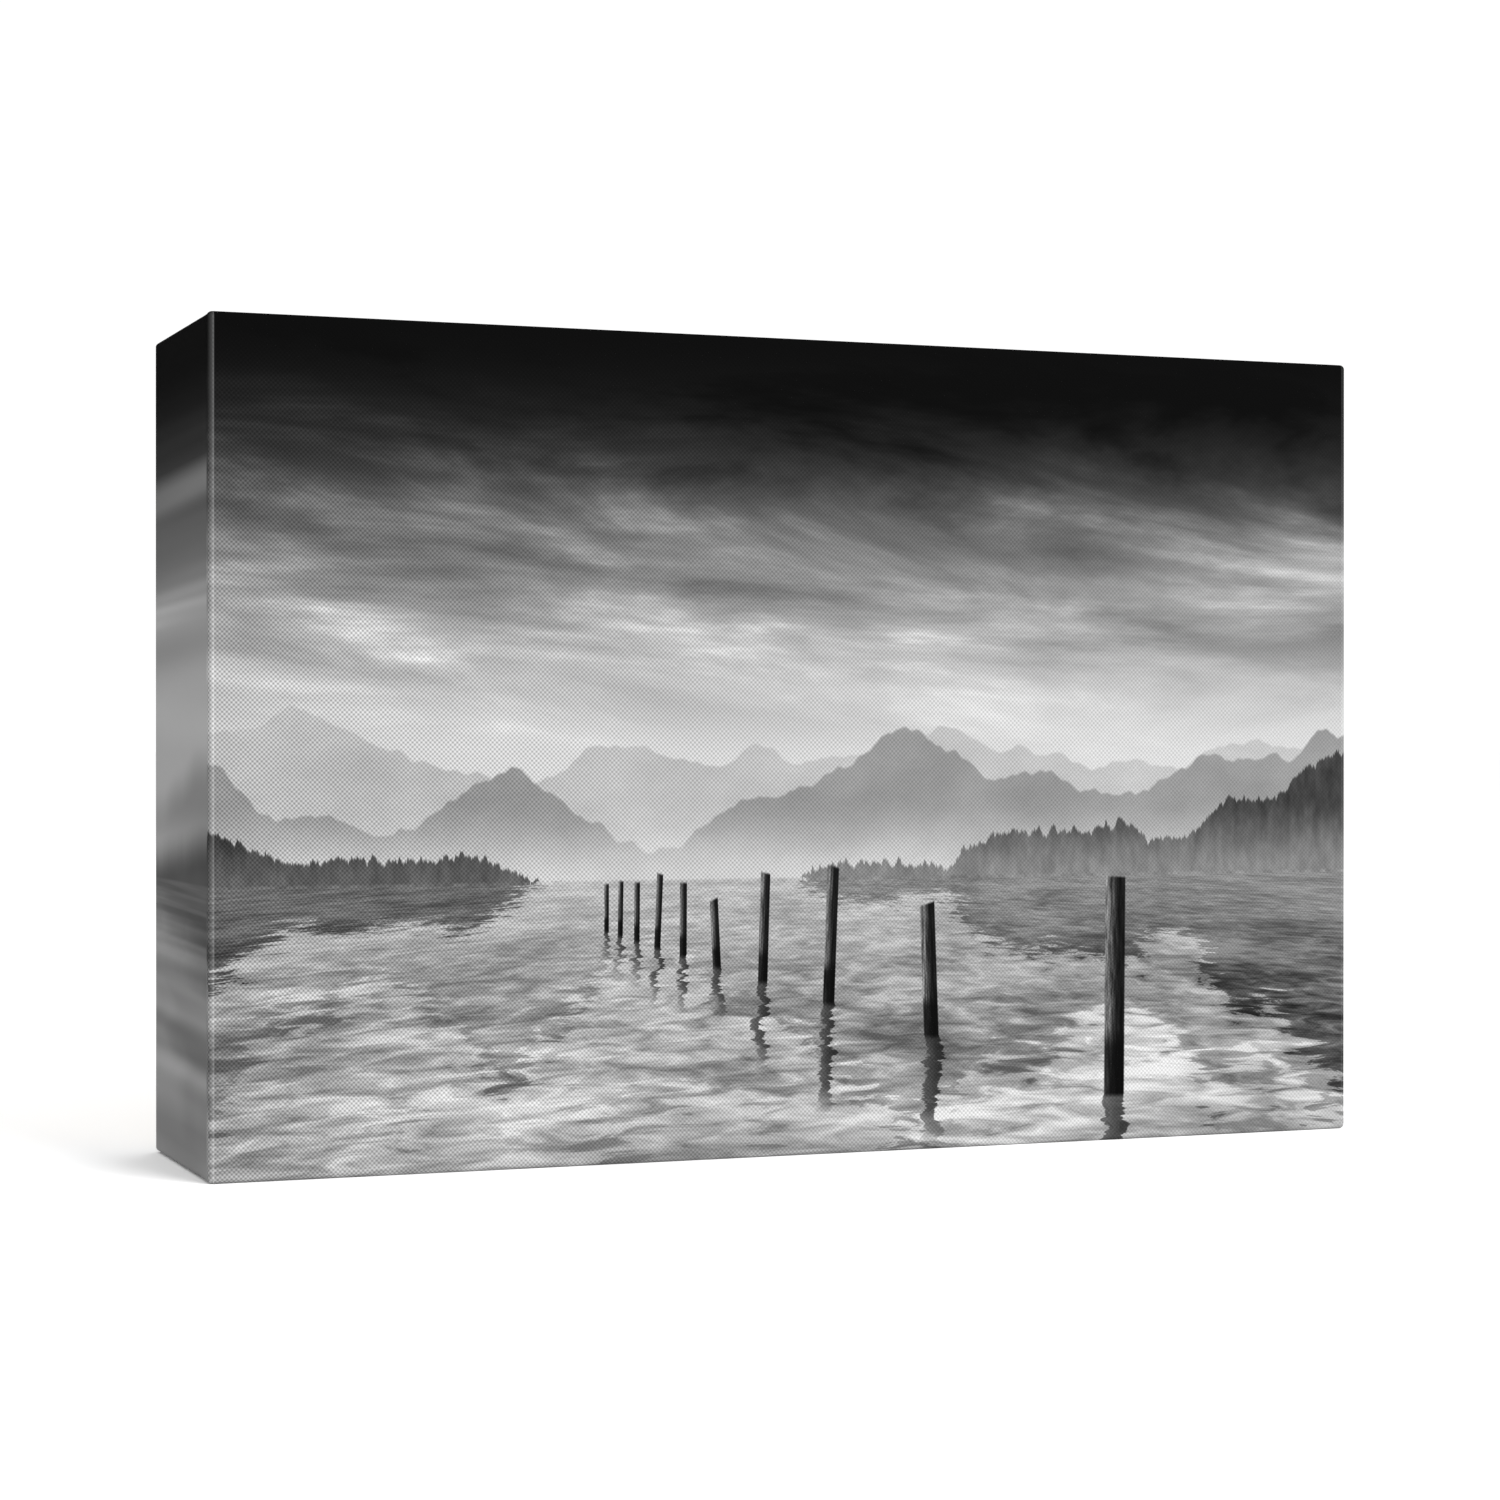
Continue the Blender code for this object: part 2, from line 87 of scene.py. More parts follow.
def addNode(tree, kind, inputs=(), points=(), **settings):
    # The kind may end in the node's main setting, as in "MapRange SMOOTHSTEP"; one in capitals is what a
    # math node does. Points shape a ramp or a curve.
    kind, _, choice = ("Math " + kind if kind.isupper() else kind).partition(" ")
    node = tree.nodes.new("ShaderNode" + kind)
    if choice:
        settings[mainSetting[kind]] = choice
    for name, value in settings.items():
        setattr(node, name, value)
    fill(node, inputs)
    if kind == "ValToRGB":
        stops = node.color_ramp.elements
        while len(stops) < len(points):
            stops.new(1.0)
        for stop, (place, code) in zip(stops, points):
            stop.position = place
            stop.color = srgb(code)
    elif kind == "FloatCurve":
        knots = node.mapping.curves[0].points
        while len(knots) < len(points):
            knots.new(0.5, 0.5)
        for knot, place in zip(knots, points):
            knot.location = place
        node.mapping.update()
    return node


def newMaterial(name, roughness, specular=0.5, metallic=0.0, sheen=0.0):
    # With the function that adds nodes to it, and its shader
    made = bpy.data.materials.new(name)
    made.use_nodes = True
    shader = made.node_tree.nodes["Principled BSDF"]
    fill(shader, {
        "Roughness": roughness, "Specular IOR Level": specular, "Metallic": metallic, "Sheen Weight": sheen})
    return made, partial(addNode, made.node_tree), shader


def newObject(name, data):
    made = bpy.data.objects.new(name, data)
    bpy.context.scene.collection.objects.link(made)
    return made


def selectOnly(piece):
    bpy.ops.object.select_all(action="DESELECT")
    piece.select_set(True)
    bpy.context.view_layer.objects.active = piece


# The view, the floor and the light

view = {
    "place": (-0.306, -0.7825, 0.1031),
    "turnDeg": -21.105,
    "tiltDeg": -0.157,
    "lensMm": 77.78,
    "sensorMm": 36,  # with the frame square
    "clip": (0.01, 200),
}

camera = newObject("camera", bpy.data.cameras.new("camera"))
camera.location = view["place"]
camera.rotation_euler = (math.radians(90 + view["tiltDeg"]), 0, math.radians(view["turnDeg"]))
camera.data.lens = view["lensMm"]
camera.data.sensor_width = view["sensorMm"]
camera.data.clip_start, camera.data.clip_end = view["clip"]
bpy.context.scene.camera = camera

studio = {
    "floorSize": 60.0,
    "skyStrength": 1.06,
    "aimAt": (0, 0, 0.1),
    "lights": {  # place, size and power
        "key": ((0.75, -1.5, 1.0), 1.2, 44.0),
        "back": ((0.7, 1.3, 1.2), 0.8, 4.0),
    },
}

bpy.ops.mesh.primitive_plane_add(size=studio["floorSize"])
floor = bpy.context.object
floor.name = "floor"
# Matt white background paper: even, with no gloss
paper, _, shader = newMaterial("matt_white_paper", roughness=0.9, specular=0.1)
fill(shader, {"Base Color": srgb("#fafafa")})
floor.data.materials.append(paper)

world = bpy.data.worlds.new("white_room")
bpy.context.scene.world = world
world.use_nodes = True
fill(world.node_tree.nodes["Background"], {"Color": (1, 1, 1, 1), "Strength": studio["skyStrength"]})

for name, (place, size, power) in studio["lights"].items():
    lamp = newObject(name + "_light", bpy.data.lights.new(name + "_light", "AREA"))
    lamp.location = place
    aim = Vector(studio["aimAt"]) - lamp.location
    lamp.rotation_euler = aim.to_track_quat("-Z", "Y").to_euler()
    lamp.data.size = size
    lamp.data.energy = power

bpy.context.scene.view_settings.view_transform = "Standard"
print("camera, floor and light set")


# The canvas: one sheet, printed on its face and sides, folded at the corners and stapled behind

low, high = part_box("canvas")
width = high.x - low.x
height = high.z - low.z
depth = high.y - low.y
faceY = low.y

canvas = {
    "cloth": 0.45 * mm,
    "frontRadius": 1.4 * mm,
    "backRadius": 1.2 * mm,
    "cornerRadius": 1.2 * mm,
    "seamRadius": 0.15 * mm,  # how far the flaps' mitre seams spread over
    "flap": 25.0 * mm,
    "sag": 0.12 * mm,
    "cutWave": 0.45 * mm,
    "cutTurns": (61, 97),  # how fast the cut edge's two waves turn, per metre
    "cutFrom": (18 * mm, 25 * mm),  # they build up over this part of the flap
    "cutEase": 12 * mm,  # and as far as this from its seams
    "weave": 1.1 * mm,  # two threads; the real cloth's 0.6 mm wouldn't show at this size
    "flatMap": "flat_cloth",
    # The mesh: its spacing along and down the sides, and mm from each corner to its first columns
    "spacing": 2.3 * mm,
    "sideSpacing": 2.4 * mm,
    "railEnds": (1.2, 1.33, 1.45, 1.57, 1.75, 2.1, 2.8, 4.0, 5.8),  # close together at the fold
    "uprightEnds": (1.2, 1.7, 2.6, 4.0, 5.8),
}

fold = {  # at each end of a rail's side, over a tucked-in triangle of cloth
    "edge": 1.45 * mm,  # from the corner to the edge of the cloth folded over it
    "edgeEase": 0.12 * mm,
    "step": 0.4 * mm,
    "stepFrom": (0.6 * mm, 5 * mm),  # behind the face
    "hollow": 0.35 * mm,  # past the triangle the cloth lies this much lower
    "hollowFrom": (1.5 * mm, 7 * mm),
    "slope": (-1.2 * mm, 1.6 * mm),  # either side of the triangle's long edge
}

press = {  # what the staples do to the flaps
    "gripLong": 6.0 * mm,
    "gripWide": 1.1 * mm,
    "gripDeep": 0.2 * mm,
    "puckerLong": 9 * mm,
    "puckerWide": 7 * mm,
    "puckerDeep": 0.05 * mm,
    "puckerWave": 1.25 * mm,
    "reachLong": 16 * mm,
    "reachWide": 12 * mm,
    "slack": 0.1 * mm,  # how far the cloth stands off between them
    "slackFrom": (2 * mm, 10 * mm),
    "railOver": 0.2 * mm,  # the rails' flaps lie over the uprights' at the seams
    "uprightUnder": -0.08 * mm,
    "seamEase": 12 * mm,
}


def smooth(value, start, end):  # 0 before start, 1 past end, eased between
    t = min(max((value - start) / (end - start), 0.0), 1.0)
    return t * t * (3 - 2 * t)


def spread(start, end, step):  # evenly spaced values up to end, with start left out
    count = max(1, round((end - start) / step))
    return [start + (end - start) * (i + 1) / count for i in range(count)]


stapleSpots = {}  # where each is, and whether it lies along a rail
for node in frame["nodes"]:
    if node.startswith("staple_"):
        a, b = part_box(node)
        stapleSpots[node] = ((a.x + b.x) / 2, (a.z + b.z) / 2, b.x - a.x > b.z - a.z)


def sideLift(rail, c, behind):
    # How far a side's cloth stands off, c along from the corner: on a rail it drops past the long edge
    # of the triangle under it, and at its own folded edge
    if not rail:
        return 0.0
    past = smooth(c - behind, *fold["slope"])
    under = 1 - smooth(c, fold["edge"] - fold["edgeEase"], fold["edge"] + fold["edgeEase"])
    return (-fold["hollow"] * past * smooth(behind, *fold["hollowFrom"])
            - fold["step"] * under * smooth(behind, *fold["stepFrom"]))


def flapLift(rail, x, z, c, inset):  # how far a flap stands off the bar
    lift = press["railOver" if rail else "uprightUnder"] * (1 - smooth(c - inset, 0, press["seamEase"]))
    slack = 1.0
    for stapleX, stapleZ, flat in stapleSpots.values():
        a, b = (x - stapleX, z - stapleZ) if flat else (z - stapleZ, x - stapleX)
        if abs(a) < press["reachLong"] and abs(b) < press["reachWide"]:
            grip = math.exp(-((a / press["gripLong"]) ** 4) - (b / press["gripWide"]) ** 2)
            pucker = math.exp(-((a / press["puckerLong"]) ** 2) - (b / press["puckerWide"]) ** 2)
            slack = min(slack, 1 - pucker)
            wave = math.cos(a / press["puckerWave"])
            lift -= press["gripDeep"] * grip + press["puckerDeep"] * pucker * wave
    return lift + press["slack"] * slack * smooth(inset, *press["slackFrom"])


def stations():
    # (inset, behind the face, length of cloth past the face's edge, turn of the fold) down one side
    rf, rb = canvas["frontRadius"], canvas["backRadius"]
    found = []
    for t in (math.pi / 12 * i for i in range(7)):
        found.append((rf * (1 - math.sin(t)), rf * (1 - math.cos(t)), rf * t, t))
    run = rf * math.pi / 2
    for behind in spread(rf, depth - rb, canvas["sideSpacing"]):
        found.append((0.0, behind, run + behind - rf, math.pi / 2))
    run += depth - rb - rf
    for t in (math.pi / 10 * i for i in range(1, 6)):
        found.append((rb * (1 - math.cos(t)), depth - rb * (1 - math.sin(t)), run + rb * t, math.pi / 2 + t))
    run += rb * math.pi / 2 - rb
    stapleRows = (10, 11, 11.6, 12.1, 12.5, 12.9, 13.4, 14, 15)  # closer where the staples press
    for inset in (2.4, 4.4, 6.4, 8.2, *stapleRows, 17, 19, 21, 22.6, 23.8, 24.6, canvas["flap"] / mm):
        found.append((inset * mm, depth, run + inset * mm, math.pi))
    return found


def alongSide(span, ends):  # distances from one corner to the other, closer together at both ends
    near = [d * mm for d in ends]
    return near + spread(near[-1], span - near[-1], canvas["spacing"])[:-1] + [span - d for d in near[::-1]]


def clothPoint(station, rail, way, along, turned=None):
    # A point of the cloth and where it is on the flat sheet. It lies on a rail (way 1 for the top, -1
    # for the bottom) or an upright (1 for the right), along from its left or lower end; turned carries
    # an upright's last point round the corner, as (1 up or -1 down, angle).
    inset, behind, run, turn = station
    least = canvas["seamRadius"] if turn > math.pi / 2 else 0.0
    corner = max(canvas["cornerRadius"] - inset, least)
    end = inset + corner
    span, across = (width, height) if rail else (height, width)
    plain = canvas["cornerRadius"]
    a = end + (along - plain) * (span - 2 * end) / (span - 2 * plain)
    c = min(a, span - a)
    edge = inset
    if inset > canvas["backRadius"]:
        slow, fast = canvas["cutTurns"]
        wave = canvas["cutWave"] / 2 * (math.sin(a * slow + 2 * way) + math.sin(a * fast + way + span * 40))
        edge += wave * smooth(inset, *canvas["cutFrom"]) * smooth(c - end, 0, canvas["cutEase"])
    upDown, angle = turned or (1, 0.0)
    out = Vector((way * math.cos(angle), upDown * math.sin(angle)))
    middle = Vector((way * (across / 2 - edge), a - span / 2))
    if turned:
        middle = Vector((way * (width / 2 - end), upDown * (height / 2 - end))) + out * corner
    if rail:
        out, middle = out.yx, middle.yx
    x, z = middle.x, middle.y + height / 2
    over = smooth(turn, math.pi / 2, math.pi)
    share = angle / (math.pi / 2)
    lift = 0.0
    for onRail, part in ((rail, 1 - share), (True, share)):
        flap = flapLift(onRail, x, z, c, inset) if over else 0.0
        lift += part * (sideLift(onRail, c, behind) * (1 - over) + flap * over)
    off = math.sin(turn) * lift
    place = (x + out.x * off, faceY + behind - math.cos(turn) * lift, z + out.y * off)
    past = across / 2 - canvas["frontRadius"] + run
    flat = (x, height / 2 + way * past) if rail else (way * past, z)
    if turned:
        flat = (way * past, height / 2 + upDown * (height / 2 - end + corner * angle))
    return place, flat


def fromShape(name, shape):  # an object of a bmesh
    mesh = bpy.data.meshes.new(name)
    shape.to_mesh(mesh)
    shape.free()
    return newObject(name, mesh)


def buildCanvas():
    down = stations()
    railAlong = alongSide(width, canvas["railEnds"])
    uprightAlong = alongSide(height, canvas["uprightEnds"])
    sheets = []
    for way in (1, -1):
        sheets.append([[clothPoint(s, True, way, a) for a in railAlong] for s in down])
        sheets.append([[clothPoint(s, False, way, a) for a in uprightAlong] for s in down])
        for upDown in (1, -1):
            last = uprightAlong[-1] if upDown > 0 else uprightAlong[0]
            turns = [(upDown, math.pi / 8 * i) for i in range(5)]
            sheets.append([[clothPoint(s, False, way, last, t) for t in turns] for s in down])
    columns = [clothPoint(down[0], True, 1, a)[1][0] for a in railAlong]
    rows = [clothPoint(down[0], False, 1, a)[1][1] for a in uprightAlong]
    face = []
    for z in rows:
        line = []
        for x in columns:
            dip = (1 - (x / columns[-1]) ** 2) * (1 - ((z - height / 2) / (rows[-1] - height / 2)) ** 2)
            line.append(((x, faceY + canvas["sag"] * dip, z), (x, z)))
        face.append(line)
    sheets.append(face)

    shape = bmesh.new()
    flatMap = shape.loops.layers.uv.new(canvas["flatMap"])
    for sheet in sheets:
        grid = [[(shape.verts.new(place), flat) for place, flat in line] for line in sheet]
        for upper, lower in zip(grid, grid[1:]):
            for i in range(len(upper) - 1):
                corners = (upper[i], upper[i + 1], lower[i + 1], lower[i])
                made = shape.faces.new([corner[0] for corner in corners])
                for loop, (_, flat) in zip(made.loops, corners):
                    loop[flatMap].uv = flat
    bmesh.ops.remove_doubles(shape, verts=shape.verts, dist=0.001 * mm)
    bmesh.ops.recalc_face_normals(shape, faces=shape.faces)
    frontmost = min(shape.faces, key=lambda f: f.calc_center_median().y)
    if frontmost.normal.y > 0:
        bmesh.ops.reverse_faces(shape, faces=shape.faces)
    return fromShape("printed_canvas", shape)


def applyModifiers(piece, smoothDeg=180):  # then shades smooth but for edges that turn by more
    selectOnly(piece)
    for modifier in list(piece.modifiers):
        bpy.ops.object.modifier_apply(modifier=modifier.name)
    bpy.ops.object.shade_smooth_by_angle(angle=math.radians(smoothDeg))


# What is printed on it is a made-up view: ridges behind a lake under a dark sky, and mooring posts

picture = {  # in parts of the face's height, x from its left edge
    "waterline": 0.34,
    "sideStretch": 0.22,  # how fast the mirrored picture goes by round the sides
    # On the face and round the sides
    "blur": (0.0022, 0.03),
    "detail": (6, 0.5),
    "sharp": (1, 0.15),
}

lake = {
    "middle": 0.75,
    "least": (0.05, 0.03),
    "scale": (4.0, 21.0, 1),
    "coarse": (1, 0.15),  # on the face and round the sides
    "calm": (1, 0.4),
    "foreshorten": 0.55,
    "shake": 0.10,
    "sway": 0.026,
    "mirrors": 0.70,  # how much of a tone shows in it, and what it adds
    "ownTone": 0.13,
    "glitter": (0.06, 0.17),  # the ripples' own contrast, far and near
    "glitterNear": 0.15,
}


def inPerspective(add, x, near, plane):
    # A place on a level plane that runs to the waterline and spreads out from its middle; least (across
    # and inwards) keeps it from shrinking to nothing there
    leastWide, leastDeep = plane["least"]
    across = add("DIVIDE", (add("ADD", (x, -plane["middle"])), add("ADD", (near, leastWide))))
    inward = add("LOGARITHM", (add("ADD", (near, leastDeep)), math.e))
    return add("VectorMath MULTIPLY", (add("CombineXYZ", (across, inward)), plane["scale"]))


def ripples(add, x, near, detail, away):
    # Two unlike patterns from -1 to 1, longer and taller towards the viewer
    coarse, calm = [add("MapRange", (away, 0, 1, *lake[name])) for name in ("coarse", "calm")]
    place = inPerspective(add, x, near, lake)
    swell = add("TexNoise 2D", (place, 0.22, 1))
    waves = add("TexNoise 2D", {
        "Vector": place, "Scale": coarse, "Detail": detail, "Roughness": 0.60, "Distortion": 0.4})
    across = add("SeparateColor", (waves.outputs["Color"],)).outputs[1]
    across = add("MapRange", (across, 0.3, 0.7, -1, 1))
    waves = add("MULTIPLY_ADD", (swell, 0.6, waves))
    waves = add("MapRange", (waves, 0.56, 1.02, -1, 1))
    return [add("MULTIPLY", (pattern, calm)) for pattern in (waves, across)]


sky = {
    "tones": (  # up the face, with no cloud
        (0.0, 0.70), (0.36, 0.75), (0.46, 0.73), (0.56, 0.67),
        (0.66, 0.53), (0.76, 0.34), (0.86, 0.14), (1.0, 0.01)),
    "tilt": 0.07,  # how much higher the cloud's layers lie at the left
    "middle": 0.9,
    "least": (0.55, 0.28),
    "scale": (1.5, 4.2, 1),
    "drift": (0.7, 0.8, 0),
    "streaked": (1.5, 4.5, 0),
    "light": 0.30,
    "lightFrom": (0.44, 0.70),
    "lightLow": (0.46, 0.66),  # it sets in between these heights and fades between the next
    "lightHigh": (0.98, 0.76),
    "dark": 0.13,
    "darkFrom": (0.50, 0.28),
}


def skyTone(add, along, up, detail):
    # Nearly black overhead and light over the ridges, with soft banks of cloud and thin streaks in them
    tone = add("FloatCurve", {"Value": up}, points=sky["tones"])
    over = add("ADD", (add("MULTIPLY_ADD", (along, sky["tilt"], up)), -picture["waterline"]))
    place = inPerspective(add, along, over, sky)
    drift = add("TexNoise 2D", (place, 0.8, 1))
    place = add("VectorMath MULTIPLY_ADD", (drift.outputs["Color"], sky["drift"], place))
    bank = add("TexNoise 2D", (place, 1.0, detail, 0.58))
    streaked = add("VectorMath MULTIPLY", (place, sky["streaked"]))
    streak = add("TexNoise 2D", (streaked, 1.2, detail, 0.55))
    streak = add("MapRange", (streak, 0.30, 0.72, 0.25, 1.15))
    light = add("MapRange SMOOTHSTEP", (bank, *sky["lightFrom"], 0, sky["light"]))
    light = add("MULTIPLY", (light, streak))
    light = add("MULTIPLY", (light, add("MapRange SMOOTHSTEP", (up, *sky["lightHigh"], 0, 1))))
    setIn = add("MapRange SMOOTHSTEP", (up, *sky["lightLow"], 0, 1))
    tone = add("MULTIPLY_ADD", (light, setIn, tone))
    dark = add("MapRange SMOOTHSTEP", (bank, *sky["darkFrom"], 0, -sky["dark"]))
    return add("MULTIPLY_ADD", (dark, setIn, tone))


ridges = {
    "lines": (  # seed, height over the water, how much it varies, slope to the right, tone, tone in the mist
        (3.1, 0.150, 0.13, 0.00, 0.64, 0.74),
        (7.7, 0.075, 0.14, 0.05, 0.50, 0.70),
        (1.9, -0.125, 0.08, 0.15, 0.22, 0.44),
        (5.4, 0.045, 0.04, -0.15, 0.13, 0.32),
    ),
    "lineScale": (2.4, 0.8),  # of the farthest one, and how much it grows from one to the next
    "firstWooded": 2,
    "trees": 0.030,
    "treeScale": 95,
    "mist": 0.10,
    "slopes": (((9, 14, 1), 0.035), ((60, 22, 1), 0.06)),  # bare and wooded: how fine and how strong
}


def addRidges(add, tone, along, up, blur, detail, sharp):
    # Each fades down into the mist on the water; trees stand along the nearer ones
    water = picture["waterline"]
    softer = add("MULTIPLY", (blur, -1))
    treeHeight = add("MULTIPLY", (sharp, ridges["trees"]))
    slopes = []
    for scale, strength in ridges["slopes"]:
        place = add("VectorMath MULTIPLY", (add("CombineXYZ", (along, up)), scale))
        rough = add("TexNoise 2D", (place, 1.0, detail, 0.6))
        rough = add("MapRange", (rough, 0.2, 0.8, -strength, strength))
        slopes.append(add("MULTIPLY", (rough, sharp)))
    first, grows = ridges["lineScale"]
    for index, (seed, rise, vary, slope, crest, foot) in enumerate(ridges["lines"]):
        wooded = index >= ridges["firstWooded"]
        place = add("ADD", (along, seed))
        line = add("TexNoise 1D", (place, first + index * grows, 5, 0.5))
        line = add("MULTIPLY_ADD", (line, vary * 2, rise - vary + water))
        line = add("MULTIPLY_ADD", (along, slope, line))
        if wooded:
            trees = add("TexNoise 1D", (place, ridges["treeScale"], 3, 0.7))
            line = add("MULTIPLY_ADD", (trees, treeHeight, line))
        ground = add("MapRange SMOOTHSTEP", (up, water + ridges["mist"], water, crest, foot))
        ground = add("ADD", (ground, slopes[wooded]))
        over = add("SUBTRACT", (up, line))
        tone = add("MapRange SMOOTHSTEP", (over, blur, softer, tone, ground))
    return tone


posts = {
    "count": 9,
    "first": (1.16, 0.06),
    "vanish": 0.30,  # the x that their row runs to, on the waterline
    "spacing": 0.42,
    "height": (0.2175, 0.1015),  # the least, and what chance adds to it
    "width": 0.028,
    "lean": 0.10,
    "slant": 0.012,  # of the sawn top
    "outerEdge": (1.08, 4.5),  # where it has faded out, on the face and round the sides
    "innerEdge": (0.92, -2.5),  # and where it is whole
    "waver": (-0.025, -0.010),  # so far under its foot its reflection wavers in full, by so much
    "mirrored": -0.85,  # how far down that reaches, in parts of its height
    "mirroredTone": 0.62,
    "shade": (0.44, 0.09),  # lit and shaded side
    "grain": (3.5, 22, 1),
    "wet": (0.30, 0.7, 0.35),  # up to this part of its height, wholly under 0.7 of that, this dark
    "blurredTone": 0.2,
}


def addPosts(add, tone, x, y, ripple, away):
    # In a row towards the vanishing point, each with its own height and lean, and with its reflection
    water = picture["waterline"]
    firstX, firstY = posts["first"]
    gone = posts["vanish"]
    spacing = posts["spacing"]
    order = add("DIVIDE", (firstX - gone, add("ADD", (x, -gone))))
    order = add("MULTIPLY_ADD", (order, 1 / spacing, -1 / spacing))
    order = add("MAXIMUM", (add("ROUND", (order,)), 0))
    order = add("MINIMUM", (order, posts["count"]))
    size = add("DIVIDE", (1, add("MULTIPLY_ADD", (order, spacing, 1))))
    chance = add("TexWhiteNoise 1D", (order,))
    least, more = posts["height"]
    tall = add("MULTIPLY", (add("MULTIPLY_ADD", (chance, more, least)), size))
    foot = add("MULTIPLY_ADD", (size, firstY - water, water))
    rise = add("SUBTRACT", (y, foot))
    middle = add("MULTIPLY_ADD", (size, firstX - gone, gone))
    lean = add("MULTIPLY_ADD", (chance, posts["lean"], -posts["lean"] / 2))
    middle = add("MULTIPLY_ADD", (lean, rise, middle))
    under, waver = posts["waver"]
    waver = add("MapRange", (rise, 0, under, 0, waver))
    middle = add("MULTIPLY_ADD", (waver, ripple, middle))
    across = add("SUBTRACT", (x, middle))
    across = add("DIVIDE", (across, add("MULTIPLY", (size, posts["width"] / 2))))
    outer, inner = [add("MapRange", (away, 0, 1, *posts[edge])) for edge in ("outerEdge", "innerEdge")]
    post = add("MapRange SMOOTHSTEP", (add("ABSOLUTE", (across,)), outer, inner, 0, 1))
    slant = add("MULTIPLY_ADD", (chance, -posts["slant"], posts["slant"] / 2))
    cutTop = add("MULTIPLY_ADD", (add("MULTIPLY", (across, size)), slant, tall))
    belowTop = add("MapRange", (rise, cutTop, add("ADD", (cutTop, -0.003)), 0, 1))
    reach = add("MULTIPLY", (tall, posts["mirrored"]))
    overEnd = add("MapRange", (rise, reach, add("ADD", (reach, 0.04)), 0, 1))
    faint = add("MapRange", (rise, -0.006, 0.0, posts["mirroredTone"], 1))
    for share in (belowTop, overEnd, faint):
        post = add("MULTIPLY", (post, share))
    shading = add("MapRange SMOOTHSTEP", (across, -1, 0.5, *posts["shade"]))
    place = add("VectorMath MULTIPLY", (add("CombineXYZ", (across, y, order)), posts["grain"]))
    grain = add("TexNoise", (place, 1.0, 4, 0.65))
    shading = add("MULTIPLY", (add("MapRange", (grain, 0.3, 0.7, 0.3, 1.5)), shading))
    # Weathered grey above and black with wet at the foot
    wetTop, wholly, dark = posts["wet"]
    wetLine = add("MULTIPLY", (tall, wetTop))
    wet = add("MapRange", (rise, wetLine, add("MULTIPLY", (wetLine, wholly)), 1.0, dark))
    shading = add("MULTIPLY", (shading, wet))
    shading = add("Mix", (away, shading, posts["blurredTone"]))
    return add("Mix", (post, tone, shading))


def printedPicture(add, u, v, away):
    # Tones from 0 to 1; away is 0 on the face and 1 round the sides, where the picture runs on mirrored,
    # stretched and out of focus
    water = picture["waterline"]
    places = []
    for place, span in ((add("ADD", (u, width / 2)), width), (v, height)):
        onFace = add("Clamp", (place, 0, span))
        beyond = add("ABSOLUTE", (add("SUBTRACT", (place, onFace)),))
        place = add("MULTIPLY_ADD", (beyond, -picture["sideStretch"], onFace))
        places.append(add("DIVIDE", (add("ABSOLUTE", (place,)), height)))
    x, y = places
    blur, detail, sharp = [
        add("MapRange", (away, 0, 1, *picture[name])) for name in ("blur", "detail", "sharp")]

    # The water shows what is over it, upside down, foreshortened and shaken by the ripples
    below = add("SUBTRACT", (water, y))
    near = add("MAXIMUM", (below, 0.003))
    onWater = add("MapRange", (below, -0.0015, 0.0015, 0, 1))
    ripple, across = ripples(add, x, near, detail, away)
    shake = add("MULTIPLY", (ripple, onWater))
    sway = add("MULTIPLY", (across, onWater))
    over = add("ADD", (add("ABSOLUTE", (below,)), water))
    mirrored = add("MULTIPLY_ADD", (below, lake["foreshorten"], water))
    mirrored = add("MULTIPLY_ADD", (shake, add("MULTIPLY", (near, lake["shake"])), mirrored))
    up = add("Mix", (onWater, over, mirrored))
    along = add("MULTIPLY_ADD", (sway, lake["sway"], x))
    tone = addRidges(add, skyTone(add, along, up, detail), along, up, blur, detail, sharp)

    wet = add("MULTIPLY_ADD", (tone, lake["mirrors"], lake["ownTone"]))
    glitter = add("MapRange", (below, 0, lake["glitterNear"], *lake["glitter"]))
    wet = add("MULTIPLY_ADD", (ripple, glitter, wet))
    tone = add("Mix", (onWater, tone, wet))
    return addPosts(add, tone, x, y, ripple, away)


def paint(add, shader, colour, height, deep, strength=1.0):  # its colour, and bumps so deep
    bump = add("Bump", {"Height": height, "Distance": deep, "Strength": strength})
    fill(shader, {"Base Color": colour, "Normal": bump})


def weavePattern(add, flat, slub=0.0):
    # 1 on the crowns, where a thread comes over, and 0 in the holes between four; slub makes it uneven
    turns = add("VectorMath MULTIPLY", (flat, (2 * math.pi / canvas["weave"],) * 3))
    if slub:
        uneven = add("TexNoise", (flat, 900, 1))
        turns = add("VectorMath MULTIPLY_ADD", (uneven.outputs["Color"], (slub, slub, 0), turns))
    waves = add("SeparateXYZ", (add("VectorMath COSINE", (turns,)),))
    crown = add("MULTIPLY", (waves.outputs[0], waves.outputs[1]))
    return add("MapRange", (crown, -1, 1, 0, 1))


ink = {
    "focusLost": 1.5 * mm,  # past the face's edge
    "gamma": 2.2,
    "tones": ((0.0, "#070707"), (1.0, "#dcdcdc")),
    "pastEdge": 7.0 * mm,  # how far the print runs on round the back
    "slub": 0.9,
    # Painted shade between the threads and painted highlight on them, as light raking from the left would
    # give: how light it is there at the left, at the right and round the sides
    "between": (0.45, 0.78, 0.96),
    "onThreads": (1.30, 1.10, 1.0),
    # The uprights' front folds are lighter, partly from worn ink and partly from a painted highlight:
    # sharpest where the face begins, fading round to the side
    "wearHighlightSoft": 0.55,
    "wearHighlightLine": 0.6,
    "wearHighlightFrom": 0.1 * mm,
    "wearHighlightTo": 0.55 * mm,
    # The painted highlight is weaker on the right fold, which faces away from the light
    "wearHighlightRight": 0.25,  # as against the left
    "wearHighlightLift": (0.12, 0.085),  # times lighter, and lighter by
}


